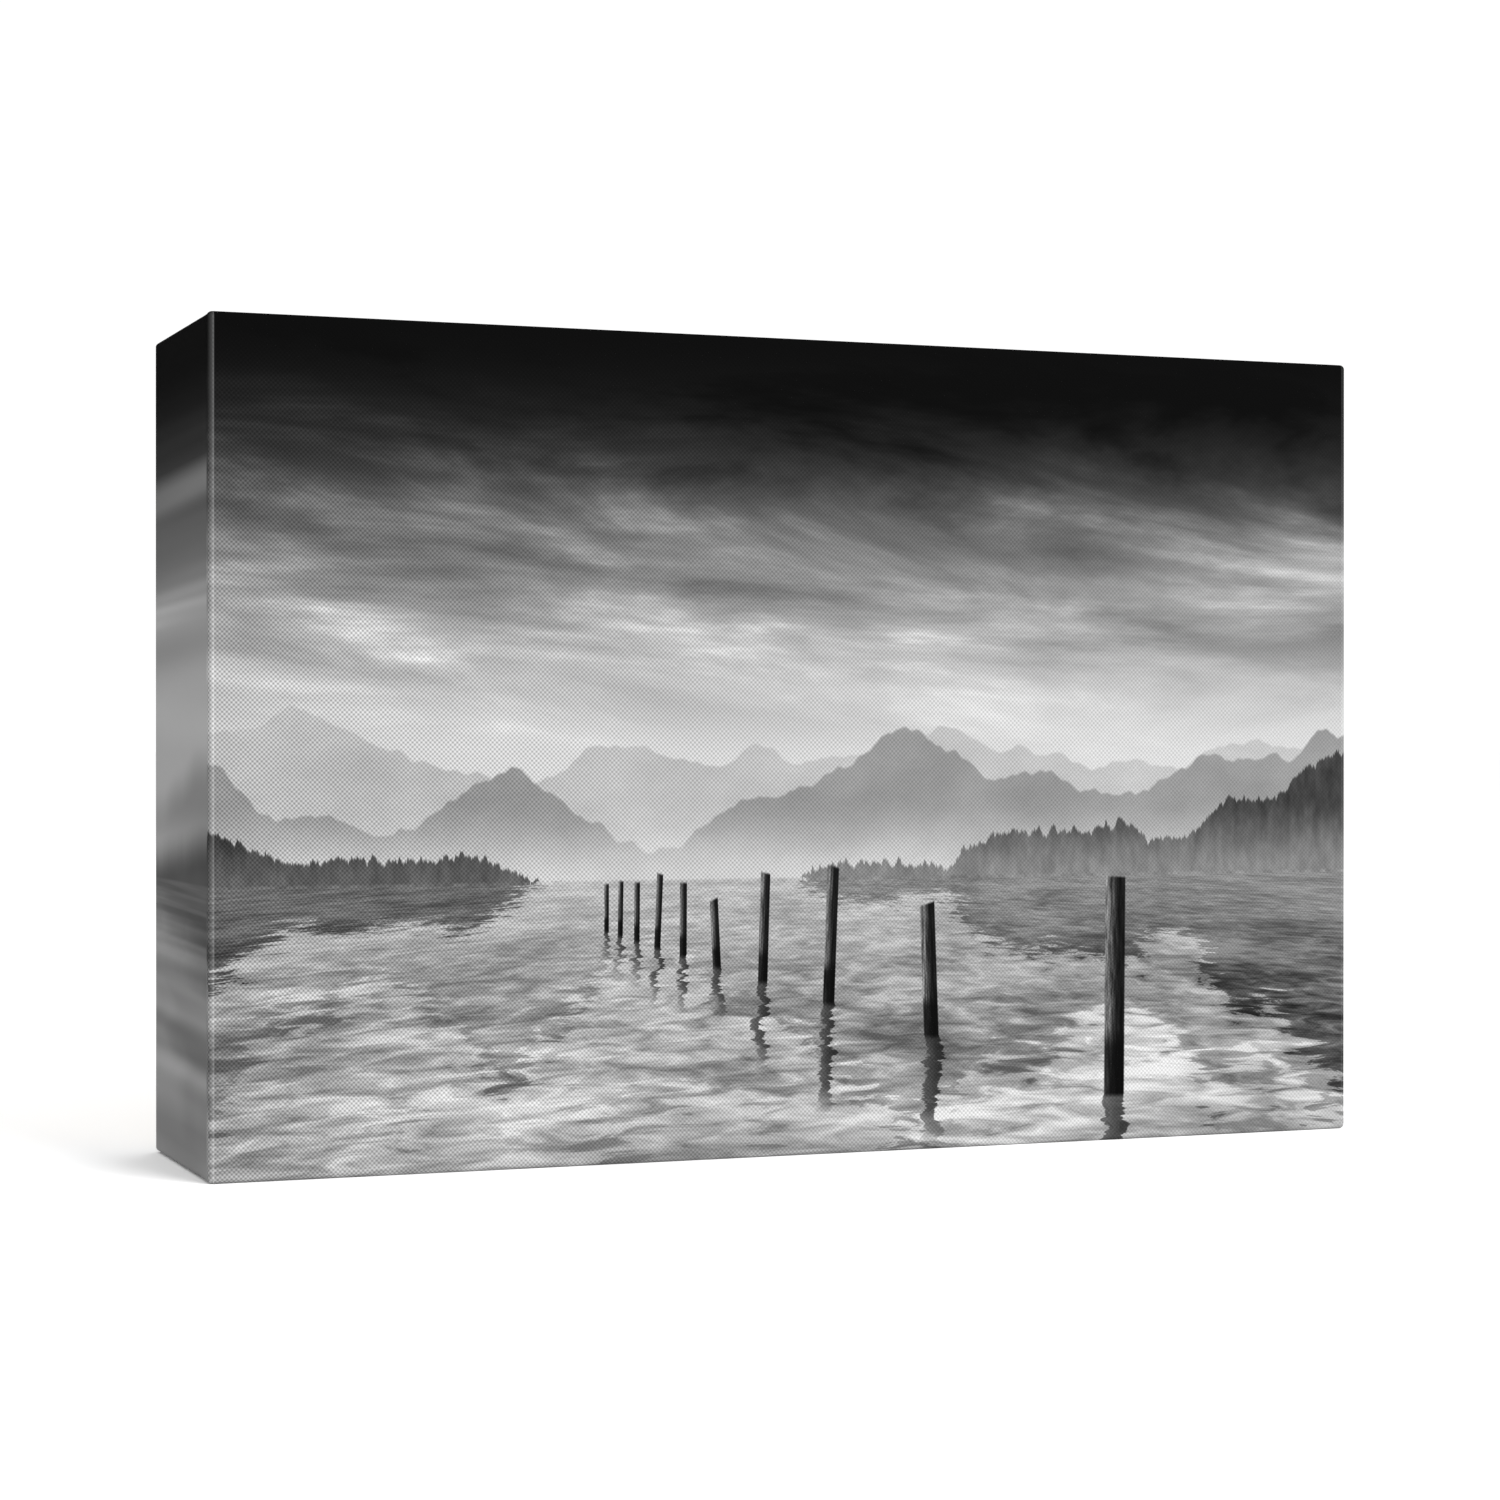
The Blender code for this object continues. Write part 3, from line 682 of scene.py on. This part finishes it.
def printedCanvas():
    # Polyester and cotton canvas under a matt white coat, printed with pigment inks: no gloss, painted shade
    # between the threads and painted highlight on them, and a lighter line where it turns over the edges,
    # partly worn ink and partly a painted highlight
    made, add, shader = newMaterial("pigment_print_on_canvas", roughness=0.85, specular=0.004)
    flat = add("UVMap", uv_map=canvas["flatMap"])
    u, v, _ = add("SeparateXYZ", (flat,)).outputs
    pastX = add("ADD", (add("ABSOLUTE", (u,)), -width / 2))
    pastZ = add("ADD", (v, -height / 2))
    pastZ = add("ADD", (add("ABSOLUTE", (pastZ,)), -height / 2))
    past = add("MAXIMUM", (pastX, pastZ))
    away = add("MapRange SMOOTHSTEP", (past, 0, ink["focusLost"], 0, 1))
    tone = add("POWER", (printedPicture(add, u, v, away), ink["gamma"]))

    # Painted shade darkens the ink between the threads and a painted highlight lightens it on them, most at
    # the left; no weave shows round the sides, which are out of focus
    weave = weavePattern(add, flat, ink["slub"])
    ends = []
    for left, right, side in (ink["between"], ink["onThreads"]):
        onFace = add("MapRange", (u, -width / 2, width / 2, left, right))
        ends.append(add("MapRange", (away, 0, 1, onFace, side)))
    tone = add("MULTIPLY", (tone, add("MapRange", (weave, 0, 1, *ends))))

    # Worn ink and a painted highlight along the uprights' front folds, stronger on the left
    arc = canvas["frontRadius"] * math.pi / 2
    start = -canvas["frontRadius"]
    edge = start + ink["wearHighlightFrom"]
    onFold = add("MapRange", (pastX, start - ink["wearHighlightFrom"], edge, 0, 1))
    soft = add("MapRange SMOOTHSTEP", (pastX, start, start + arc, ink["wearHighlightSoft"], 0))
    line = add("MapRange", (pastX, edge, start + ink["wearHighlightTo"], ink["wearHighlightLine"], 0))
    line = add("MULTIPLY", (line, add("MapRange", (weave, 0.1, 0.9, 0.5, 1))))
    wearHighlight = add("MULTIPLY", (add("ADD", (soft, line)), onFold))
    wearHighlight = add("MULTIPLY", (wearHighlight, add("MapRange", (u, 0, 1 * mm, 1, ink["wearHighlightRight"]))))
    times, more = ink["wearHighlightLift"]
    tone = add("MULTIPLY", (tone, add("MULTIPLY_ADD", (wearHighlight, times, 1))))
    tone = add("MULTIPLY_ADD", (wearHighlight, more, tone))
    inked = add("ValToRGB", (tone,), points=ink["tones"])

    cut = depth + ink["pastEdge"]
    bare = add("MapRange", (past, cut, cut + 0.6 * mm, 0, 1))
    # The bare primer past the print: painted shade darkens it in the holes between the threads, lighter on
    # the crowns
    primer = add("Mix RGBA", (weave, srgb("#c9c6bd"), srgb("#e0ddd4")))
    colour = add("Mix RGBA", (bare, inked, primer))
    paint(add, shader, colour, weave, 0.05 * mm)
    return made


def rawCanvas():
    # The same cloth's unprimed back: natural ecru, dull and open
    made, add, shader = newMaterial("unprimed_canvas", roughness=0.9, specular=0.1)
    weave = weavePattern(add, add("UVMap", uv_map=canvas["flatMap"]))
    # Painted shade: darker in the holes between the threads, lighter on the crowns
    colour = add("Mix RGBA", (weave, srgb("#a89c82"), srgb("#d9d0ba")))
    paint(add, shader, colour, weave, 0.06 * mm)
    return made


cloth = buildCanvas()
cloth.data.materials.append(printedCanvas())
cloth.data.materials.append(rawCanvas())
wall = cloth.modifiers.new("wall", "SOLIDIFY")
wall.thickness = canvas["cloth"]
wall.offset = -1
wall.use_even_offset = True
wall.material_offset = 1
wall.material_offset_rim = 1
applyModifiers(cloth)
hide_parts("canvas")
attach(cloth, "print")
print("canvas built")


# The threads that stick out of the canvas's cut edge

fray = {
    "spacing": 0.9 * mm,
    "radius": 0.16 * mm,
    "taper": 0.45,
    "fromSeam": 4 * mm,
    "length": (0.25 * mm, 0.9 * mm, 3.2 * mm),  # the least, the mean and the most that is added to it
    "stray": (0.22, 0.16, 0.22),
    "bend": 0.35,
    "longEvery": 34,  # one thread in so many has come loose and hangs
    "longLength": 13 * mm,
    "longJoints": 12,
    "curl": 1.6 * mm,
    "startOut": 2.5 * mm,
}


def addThread(shape, points, radius):  # a four-sided tube that tapers to its end
    rings = []
    for i, point in enumerate(points):
        ahead = points[min(i + 1, len(points) - 1)] - points[max(i - 1, 0)]
        across = ahead.cross(Vector((0.3, 1, 0.2))).normalized()
        upward = ahead.cross(across).normalized()
        size = radius * (1 - fray["taper"] * i / (len(points) - 1))
        rings.append([shape.verts.new(point + size * d) for d in (across, upward, -across, -upward)])
    for near, far in zip(rings, rings[1:]):
        for i in range(4):
            shape.faces.new((near[i - 1], near[i], far[i], far[i - 1]))
    shape.faces.new(rings[0])
    shape.faces.new(rings[-1])


def shortThread(root, aim):
    least, mean, most = fray["length"]
    length = min(random.expovariate(1 / mean), most) + least
    bend = Vector([random.gauss(0, fray["bend"]) for _ in range(3)])
    return [root + aim * length * t + bend * length * t * t for t in (-0.15, 0.35, 0.7, 1.0)]


def longThread(root, aim):
    length = fray["longLength"] * random.uniform(0.5, 1.4)
    drop = Vector((random.gauss(0, 0.25), random.uniform(0.0, 0.10), -1))
    sway = random.uniform(-2.5, 2.5)
    points = []
    for i in range(fray["longJoints"] + 1):
        t = i / fray["longJoints"]
        curl = Vector((math.sin(sway * t * 3), 0.3 * math.sin(sway * t * 2 + 1), 0)) * fray["curl"] * t
        point = root + aim * fray["startOut"] * t * (1 - t) + drop * length * t * t + curl
        point.y = max(point.y, root.y - 0.1 * mm)
        points.append(point)
    return points


def buildFray():
    last = stations()[-1]
    shape = bmesh.new()
    strayX, strayY, strayZ = fray["stray"]
    for rail, way in ((True, 1), (True, -1), (False, 1), (False, -1)):
        span = width if rail else height
        inward = Vector((0, 0, -way)) if rail else Vector((-way, 0, 0))
        for number in range(int((span - 2 * fray["fromSeam"]) / fray["spacing"])):
            along = fray["fromSeam"] + (number + random.uniform(-0.3, 0.3)) * fray["spacing"]
            place, _ = clothPoint(last, rail, way, along)
            root = Vector(place) - Vector((0, random.uniform(0.3, 0.7) * canvas["cloth"], 0))
            stray = [random.gauss(0, strayX), random.gauss(0.05, strayY), random.gauss(0, strayZ)]
            kind = shortThread if random.randrange(fray["longEvery"]) else longThread
            points = kind(root, inward + Vector(stray))
            addThread(shape, points, fray["radius"] * random.uniform(0.8, 1.2))
    bmesh.ops.recalc_face_normals(shape, faces=shape.faces)
    piece = fromShape("canvas_threads", shape)
    piece.data.shade_smooth()
    return piece


def clouded(name, cloud, tones, roughRange=None, dents=None, **surface):
    # A plain finish: colour and gloss vary in soft clouds (size, detail), over dents (size, detail, depth)
    made, add, shader = newMaterial(name, **surface)
    place = add("TexCoord").outputs["Object"]
    size, detail = cloud
    pattern = add("TexNoise", (place, 1 / size, detail))
    fill(shader, {"Base Color": add("ValToRGB", (pattern,), points=tones)})
    if roughRange:
        fill(shader, {"Roughness": add("MapRange", (pattern, 0.3, 0.7, *roughRange))})
    if dents:
        size, detail, deep = dents
        pattern = add("TexNoise", (place, 1 / size, detail))
        fill(shader, {"Normal": add("Bump", {"Height": pattern, "Distance": deep, "Strength": 0.6})})
    return made


# Undyed cotton and polyester ends: matt, soft and slightly fluffy, so no highlight
looseThread = clouded("cotton_thread", (0.4 * mm, 2), ((0.3, "#b9ae96"), (0.7, "#ebe5d6")),
                      roughness=0.95, specular=0.1, sheen=0.3)

threads = buildFray()
threads.data.materials.append(looseThread)
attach(threads, "print")
print("cut edge frayed")


# The stretcher bars and their keys

bars = {
    "eased": 0.35 * mm,  # how far the planed edges are rounded off
    "shortest": 5 * mm,  # edges under this, round the fasteners' holes, stay sharp under the cloth
}
keys = {"eased": 0.3 * mm}


def dressedCopy(node, name, eased, shortest=0.0):
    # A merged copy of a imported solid, flat faces whole again, with its long edges eased
    mesh = frame["nodes"][node].data.copy()
    mesh.name = name
    mesh.materials.clear()
    piece = newObject(name, mesh)
    shape = bmesh.new()
    shape.from_mesh(mesh)
    bmesh.ops.remove_doubles(shape, verts=shape.verts, dist=0.002 * mm)
    bmesh.ops.dissolve_limit(shape, angle_limit=math.radians(1), verts=shape.verts, edges=shape.edges)
    weight = shape.edges.layers.float.new("bevel_weight_edge")
    for edge in shape.edges:
        if len(edge.link_faces) == 2 and edge.calc_face_angle() > math.radians(28):
            edge[weight] = 1.0 if edge.calc_length() > shortest else 0.0
    shape.to_mesh(mesh)
    shape.free()
    ease = piece.modifiers.new("ease", "BEVEL")
    ease.width = eased
    ease.segments = 2
    ease.limit_method = "WEIGHT"
    applyModifiers(piece, 35)
    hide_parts(node)
    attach(piece, "print")
    return piece


pine = {
    # Each bar's log: its pith (y, sideways), how far that strays per metre along, its knot (along, y)
    "logs": {
        "top": ((0.018, 0.262), (-0.10, 0.055), (-0.043, 0.004)),
        "bottom": ((-0.012, -0.066), (0.06, -0.075), (0.071, -0.012)),
        "left": ((0.010, -0.222), (-0.05, 0.085), (0.062, 0.011)),
        "right": ((-0.020, 0.205), (0.09, -0.050), (0.139, -0.004)),
    },
    "ring": 1.7 * mm,  # a year's growth
    "year": ((0.0, "#e8d1a9"), (0.45, "#e3c89b"), (0.78, "#d3aa76"), (0.92, "#c08f5a"), (1.0, "#e8d1a9")),
    # How long and how strong the rings' slow swells, fine waver and uneven years are
    "swell": (70 * mm, 8 * mm),
    "waver": (9 * mm, 0.7 * mm),
    "uneven": (7 * mm, 4 * mm),
    "fibre": 0.7 * mm,
    "fibreSqueeze": (0.035, 1, 1),  # along the bar
    "knotRadius": 2.6 * mm,
    "knotSqueeze": 0.6,
    "knotWaver": 2.4 * mm,
    "knotPush": (4.5, 3.4 * mm),  # out to so many of its radii it pushes the rings aside, by so much
    "knotRing": 0.5 * mm,
    "knot": ((0.0, "#8a5730"), (0.6, "#a8713f"), (1.0, "#7c4a27")),
}


def planedPine(name):
    # Kiln-dried pine off a planer, bare: cream early wood, thin tan late wood, and a dull sheen
    made, add, shader = newMaterial("planed_pine_" + name, roughness=0.58, specular=0.35)
    x, y, z = add("SeparateXYZ", (add("TexCoord").outputs["Object"],)).outputs
    along, side = (z, x) if name in ("left", "right") else (x, z)
    # Years grow round the pith, which runs a little aslant
    (pithY, pithSide), (strayY, straySide), (knotAlong, knotY) = pine["logs"][name]
    fromPith = add("CombineXYZ", (
        add("MULTIPLY_ADD", (along, -strayY, add("ADD", (y, -pithY)))),
        add("MULTIPLY_ADD", (along, -straySide, add("ADD", (side, -pithSide))))))
    radius = add("VectorMath LENGTH", (fromPith,))
    place = add("CombineXYZ", (along, y, side))
    for part, detail in (("swell", 1), ("waver", 2)):
        size, strength = pine[part]
        waver = add("TexNoise", (place, 1 / size, detail))
        radius = add("MULTIPLY_ADD", (waver, strength, radius))
    size, strength = pine["uneven"]
    uneven = add("TexNoise 1D", (radius, 1 / size, 1))
    radius = add("MULTIPLY_ADD", (uneven, strength, radius))

    toKnot = add("MULTIPLY", (add("ADD", (along, -knotAlong)), pine["knotSqueeze"]))
    toKnot = add("CombineXYZ", (toKnot, add("ADD", (y, -knotY))))
    fromKnot = add("ADD", (add("VectorMath LENGTH", (toKnot,)), -pine["knotWaver"] / 2))
    fromKnot = add("MULTIPLY_ADD", (waver, pine["knotWaver"], fromKnot))
    radii, push = pine["knotPush"]
    pushed = add("MapRange SMOOTHSTEP", (fromKnot, 0, radii * pine["knotRadius"], push, 0))
    radius = add("ADD", (radius, pushed))
    year = add("FRACT", (add("DIVIDE", (radius, pine["ring"])),))
    wood = add("ValToRGB", (year,), points=pine["year"])

    grain = add("VectorMath MULTIPLY", (place, pine["fibreSqueeze"]))
    fibre = add("TexNoise", (grain, 1 / pine["fibre"], 4, 0.6))
    broad = add("TexNoise", (grain, 60, 2))
    broad = add("MapRange", (broad, 0.3, 0.7, 0.90, 1.06))
    tint = add("MULTIPLY", (add("MapRange", (fibre, 0.25, 0.75, 0.80, 1.10)), broad))
    tint = add("CombineColor", (tint, tint, tint))
    wood = add("Mix RGBA", (1.0, wood, tint), blend_type="MULTIPLY")
    knotRing = add("FRACT", (add("DIVIDE", (fromKnot, pine["knotRing"])),))
    heart = add("ValToRGB", (knotRing,), points=pine["knot"])
    edge = pine["knotRadius"]
    atKnot = add("MapRange SMOOTHSTEP", (fromKnot, edge * 1.15, edge * 0.9, 0, 1))
    wood = add("Mix RGBA", (atKnot, wood, heart))
    paint(add, shader, wood, fibre, 0.06 * mm, 0.8)
    return made


def sawnBeech(lengthwise):
    # Beech off the saw: pinkish tan, dense, with short dark rays along the grain
    made, add, shader = newMaterial("sawn_beech_" + lengthwise, roughness=0.62, specular=0.3)
    place = add("TexCoord").outputs["Object"]
    squeeze = (0.12, 1, 1) if lengthwise == "x" else (1, 1, 0.12)
    grain = add("VectorMath MULTIPLY", (place, squeeze))
    fleck = add("TexNoise", (grain, 1 / (0.45 * mm), 2, 0.5))
    broad = add("TexNoise", (grain, 1 / (4 * mm), 3))
    base = add("ValToRGB", (broad,), points=((0.3, "#c79a6c"), (0.7, "#dab58c")))
    rays = add("MapRange", (fleck, 0.56, 0.70, 0, 0.75))
    wood = add("Mix RGBA", (rays, base, srgb("#96623a")))
    sawn = add("TexNoise", (place, 1 / (0.6 * mm), 3))
    paint(add, shader, wood, sawn, 0.08 * mm, 0.7)
    return made


for name in ("top", "bottom", "left", "right"):
    bar = dressedCopy("stretcher_" + name, "pine_bar_" + name, bars["eased"], bars["shortest"])
    bar.data.materials.append(planedPine(name))
beech = {"x": sawnBeech("x"), "z": sawnBeech("z")}
for node in [n for n in frame["nodes"] if n.startswith("key_")]:
    wedge = dressedCopy(node, "beech_" + node, keys["eased"])
    wedge.data.materials.append(beech["x" if node.startswith(("key_left", "key_right")) else "z"])
print("bars and keys built")


# The staples, modelled once and copied

staple = {
    "crown": 10.5 * mm,
    "wide": 1.2 * mm,
    "thick": 0.62 * mm,
    "leg": 8.6 * mm,
    "legTip": 0.15,
    "sink": 0.36 * mm,  # pressed into the cloth
    "round": 0.16 * mm,
}


def pick(piece, test):  # selects the faces whose centre and normal pass, in edit mode
    if piece.mode == "EDIT":
        bpy.ops.object.mode_set(mode="OBJECT")
    selectOnly(piece)
    bpy.context.tool_settings.mesh_select_mode = (False, False, True)
    for part in (piece.data.vertices, piece.data.edges, piece.data.polygons):
        part.foreach_set("select", [False] * len(part))
    for face in piece.data.polygons:
        face.select = test(face.center, face.normal)
    bpy.ops.object.mode_set(mode="EDIT")


def modelStaple():
    # Crown along X, its back at the origin, legs towards -Y
    bpy.ops.object.select_all(action="DESELECT")
    bpy.ops.mesh.primitive_cube_add(size=1, location=(0, -staple["thick"] / 2, 0))
    piece = bpy.context.object
    piece.scale = (staple["crown"], staple["thick"], staple["wide"])
    bpy.ops.object.transform_apply(location=True, scale=True)
    inner = staple["crown"] / 2 - staple["thick"]
    for way in (1, -1):
        pick(piece, lambda centre, normal: True)
        bpy.ops.mesh.bisect(plane_co=(way * inner, 0, 0), plane_no=(1, 0, 0))
    for way in (1, -1):
        pick(piece, lambda centre, normal: normal.y < -0.9 and way * centre.x > inner)
        bpy.ops.mesh.extrude_region_move(TRANSFORM_OT_translate={"value": (0, -staple["leg"], 0)})
        bpy.ops.transform.resize(value=(staple["legTip"], 1, 1))
    bpy.ops.object.mode_set(mode="OBJECT")
    soften = piece.modifiers.new("soften", "BEVEL")
    soften.width = staple["round"]
    soften.segments = 3
    soften.limit_method = "ANGLE"
    soften.angle_limit = math.radians(40)
    applyModifiers(piece, 50)
    return piece


# Flattened zinc-coated wire: grey, half dull, with a faint cloudy zinc bloom
wire = clouded("galvanised_wire", (1.5 * mm, 3), ((0.3, "#97999a"), (0.7, "#bfc0c0")),
               roughRange=(0.28, 0.46), roughness=0.36, metallic=1.0)
model = modelStaple()
for node, (x, z, flat) in stapleSpots.items():
    a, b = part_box(node)
    centre = Vector((x, b.y - staple["sink"], z))
    tips = [v.co - centre for v in frame["nodes"][node].data.vertices if v.co.y < a.y + 0.1 * mm]
    oneLeg = [tip for tip in tips if (tip.x if flat else tip.z) > 0]
    tip = sum(oneLeg, Vector()) / len(oneLeg)
    turned = Matrix.Rotation(math.atan2(-tip.z, tip.x), 4, "Y")
    mesh = model.data.copy()
    mesh.transform(Matrix.Translation(centre) @ turned)
    mesh.materials.append(wire)
    piece = newObject("wire_" + node, mesh)
    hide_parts(node)
    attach(piece, "print")
bpy.data.objects.remove(model)
print("staples driven")


# The hangers: straps, rings and screws

hanger = {
    "strapEdge": 0.12 * mm,
    "ringWire": 1.2 * mm,
    "ringHalf": 9.2 * mm,
    "ringReach": 12.6 * mm,
    "ringCorner": 2.0 * mm,
    "headRadius": 3.4 * mm,
    "headHeight": 2.1 * mm,
    "headDome": 1.0 * mm,
    "shankRadius": 1.7 * mm,
    "shankLength": 16.0 * mm,
    "pointShare": 0.2,  # of the shank, tapered to 0.1 of its width
    "crossLength": 3.7 * mm,
    "crossWidth": 0.95 * mm,
    "crossDepth": 1.1 * mm,
    "crossTaper": 0.62,
}


def hangerRing(name, axis, lean):
    # One round wire, bent to a D round its straight hinge side
    half, reach, bend = hanger["ringHalf"], hanger["ringReach"], hanger["ringCorner"]
    quarter = [math.pi / 2 * i / 8 for i in range(9)]
    corner = [(half - bend * (1 - math.sin(t)), bend * (1 - math.cos(t))) for t in quarter]
    arch = [math.pi * i / 48 for i in range(1, 48)]
    arch = [(half * math.cos(t), bend + (reach - bend) * math.sin(t)) for t in arch]
    curve = bpy.data.curves.new(name, "CURVE")
    curve.dimensions = "3D"
    curve.bevel_depth = hanger["ringWire"]
    curve.bevel_resolution = 6
    path = corner + arch + [(-px, pz) for px, pz in reversed(corner)]
    spline = curve.splines.new("POLY")
    spline.points.add(len(path) - 1)
    turned = Matrix.Translation(axis) @ Matrix.Rotation(lean, 4, "X")
    for point, (px, pz) in zip(spline.points, path):
        point.co = (*(turned @ Vector((px, 0, -pz))), 1)
    spline.use_cyclic_u = True
    piece = newObject(name, curve)
    selectOnly(piece)
    bpy.ops.object.convert(target="MESH")
    piece.data.shade_smooth()
    return piece


def roundBlock(name, sides, radius, depth, centre):  # a cylinder along Y
    bpy.ops.object.select_all(action="DESELECT")
    bpy.ops.mesh.primitive_cylinder_add(
        vertices=sides, radius=radius, depth=depth, location=centre, rotation=(math.pi / 2, 0, 0))
    piece = bpy.context.object
    piece.name = name
    bpy.ops.object.transform_apply(location=True, rotation=True)
    return piece


def hangerScrew(name, node):
    # A pan head with a cross recess; its shank goes straight into the bar
    a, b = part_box(node)
    x, z = (a.x + b.x) / 2, (a.z + b.z) / 2
    flush = b.y - hanger["headHeight"]
    point = hanger["shankLength"] * hanger["pointShare"]
    piece = roundBlock(name, 48, hanger["headRadius"], hanger["headHeight"],
                       (x, b.y - hanger["headHeight"] / 2, z))
    pick(piece, lambda centre, normal: normal.y > 0.9)
    bpy.ops.mesh.bevel(offset=hanger["headDome"], segments=6, profile=0.55, affect="EDGES")
    pick(piece, lambda centre, normal: normal.y < -0.9)
    bpy.ops.mesh.inset(thickness=hanger["headRadius"] - hanger["shankRadius"], depth=0)
    bpy.ops.mesh.extrude_region_move(TRANSFORM_OT_translate={"value": (0, a.y + point - flush, 0)})
    bpy.ops.mesh.extrude_region_move(TRANSFORM_OT_translate={"value": (0, -point, 0)})
    bpy.ops.transform.resize(value=(0.1, 1, 0.1))
    bpy.ops.object.mode_set(mode="OBJECT")
    cutters = []
    long, wide, taper = hanger["crossLength"], hanger["crossWidth"], hanger["crossTaper"]
    for across in (long, wide):
        bpy.ops.mesh.primitive_cube_add(size=1, location=(x, b.y, z))
        cutter = bpy.context.object
        cutter.scale = (across, 2 * hanger["crossDepth"], long + wide - across)
        bpy.ops.object.transform_apply(scale=True)
        pick(cutter, lambda centre, normal: normal.y < -0.9)
        bpy.ops.transform.resize(value=(taper, 1, taper))
        bpy.ops.object.mode_set(mode="OBJECT")
        cut = piece.modifiers.new("cross", "BOOLEAN")
        cut.operation = "DIFFERENCE"
        cut.object = cutter
        cutters.append(cutter)
    applyModifiers(piece, 35)
    for cutter in cutters:
        bpy.data.objects.remove(cutter)
    return piece


# Tumbled and nickel-plated steel: warm grey mirror, clouded by fine handling marks
plated = clouded("nickel_plated_steel", (3 * mm, 4), ((0.3, "#bab6ac"), (0.7, "#cdc9bf")),
                 roughRange=(0.17, 0.36), dents=(0.8 * mm, 2, 0.008 * mm), roughness=0.24, metallic=1.0)
for side in ("left", "right"):
    strap = dressedCopy("strap_" + side, "steel_strap_" + side, hanger["strapEdge"])
    strap.data.materials.append(plated)

    joint = next(j for j in frame["joints"] if j["child"] == "ring_" + side)
    axis = Vector(joint["pos_m"])
    tip = min((v.co for v in frame["nodes"]["ring_" + side].data.vertices), key=lambda p: p.z)
    lean = math.atan2(tip.y - axis.y, axis.z - tip.z)
    ring = hangerRing("steel_ring_" + side, axis, lean)
    ring.data.materials.append(plated)
    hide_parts("ring_" + side)
    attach(ring, "ring_" + side)

    screw = hangerScrew("pan_head_screw_" + side, "screw_" + side)
    screw.data.materials.append(plated)
    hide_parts("screw_" + side)
    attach(screw, "print")
print("hangers built")


# The rubber bumpers

bumper = {
    "round": 1.2 * mm,
    "dish": 0.35 * mm,
    "dishSlope": 0.5 * mm,
    "rim": 1.6 * mm,
}

# Black rubber out of a blasted mould: dull, finely pebbled, a little dusty
rubber = clouded("moulded_rubber", (1.2 * mm, 4), ((0.35, "#161617"), (0.75, "#2b2a2a")),
                 dents=(0.3 * mm, 1, 0.03 * mm), roughness=0.68, specular=0.4)
for side in ("left", "right"):
    a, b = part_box("bumper_" + side)
    foot = roundBlock("rubber_bumper_" + side, 64, (b.x - a.x) / 2, b.y - a.y, (a + b) / 2)
    pick(foot, lambda centre, normal: normal.y > 0.9)
    bpy.ops.mesh.bevel(offset=bumper["round"], segments=5, affect="EDGES")
    pick(foot, lambda centre, normal: normal.y > 0.9999 and centre.y > b.y - 0.01 * mm)
    bpy.ops.mesh.inset(thickness=bumper["rim"], depth=0)
    bpy.ops.mesh.inset(thickness=bumper["dishSlope"], depth=-bumper["dish"])
    bpy.ops.object.mode_set(mode="OBJECT")
    bpy.ops.object.shade_smooth_by_angle(angle=math.radians(35))
    foot.data.materials.append(rubber)
    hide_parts("bumper_" + side)
    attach(foot, "print")
print("bumpers stuck on")
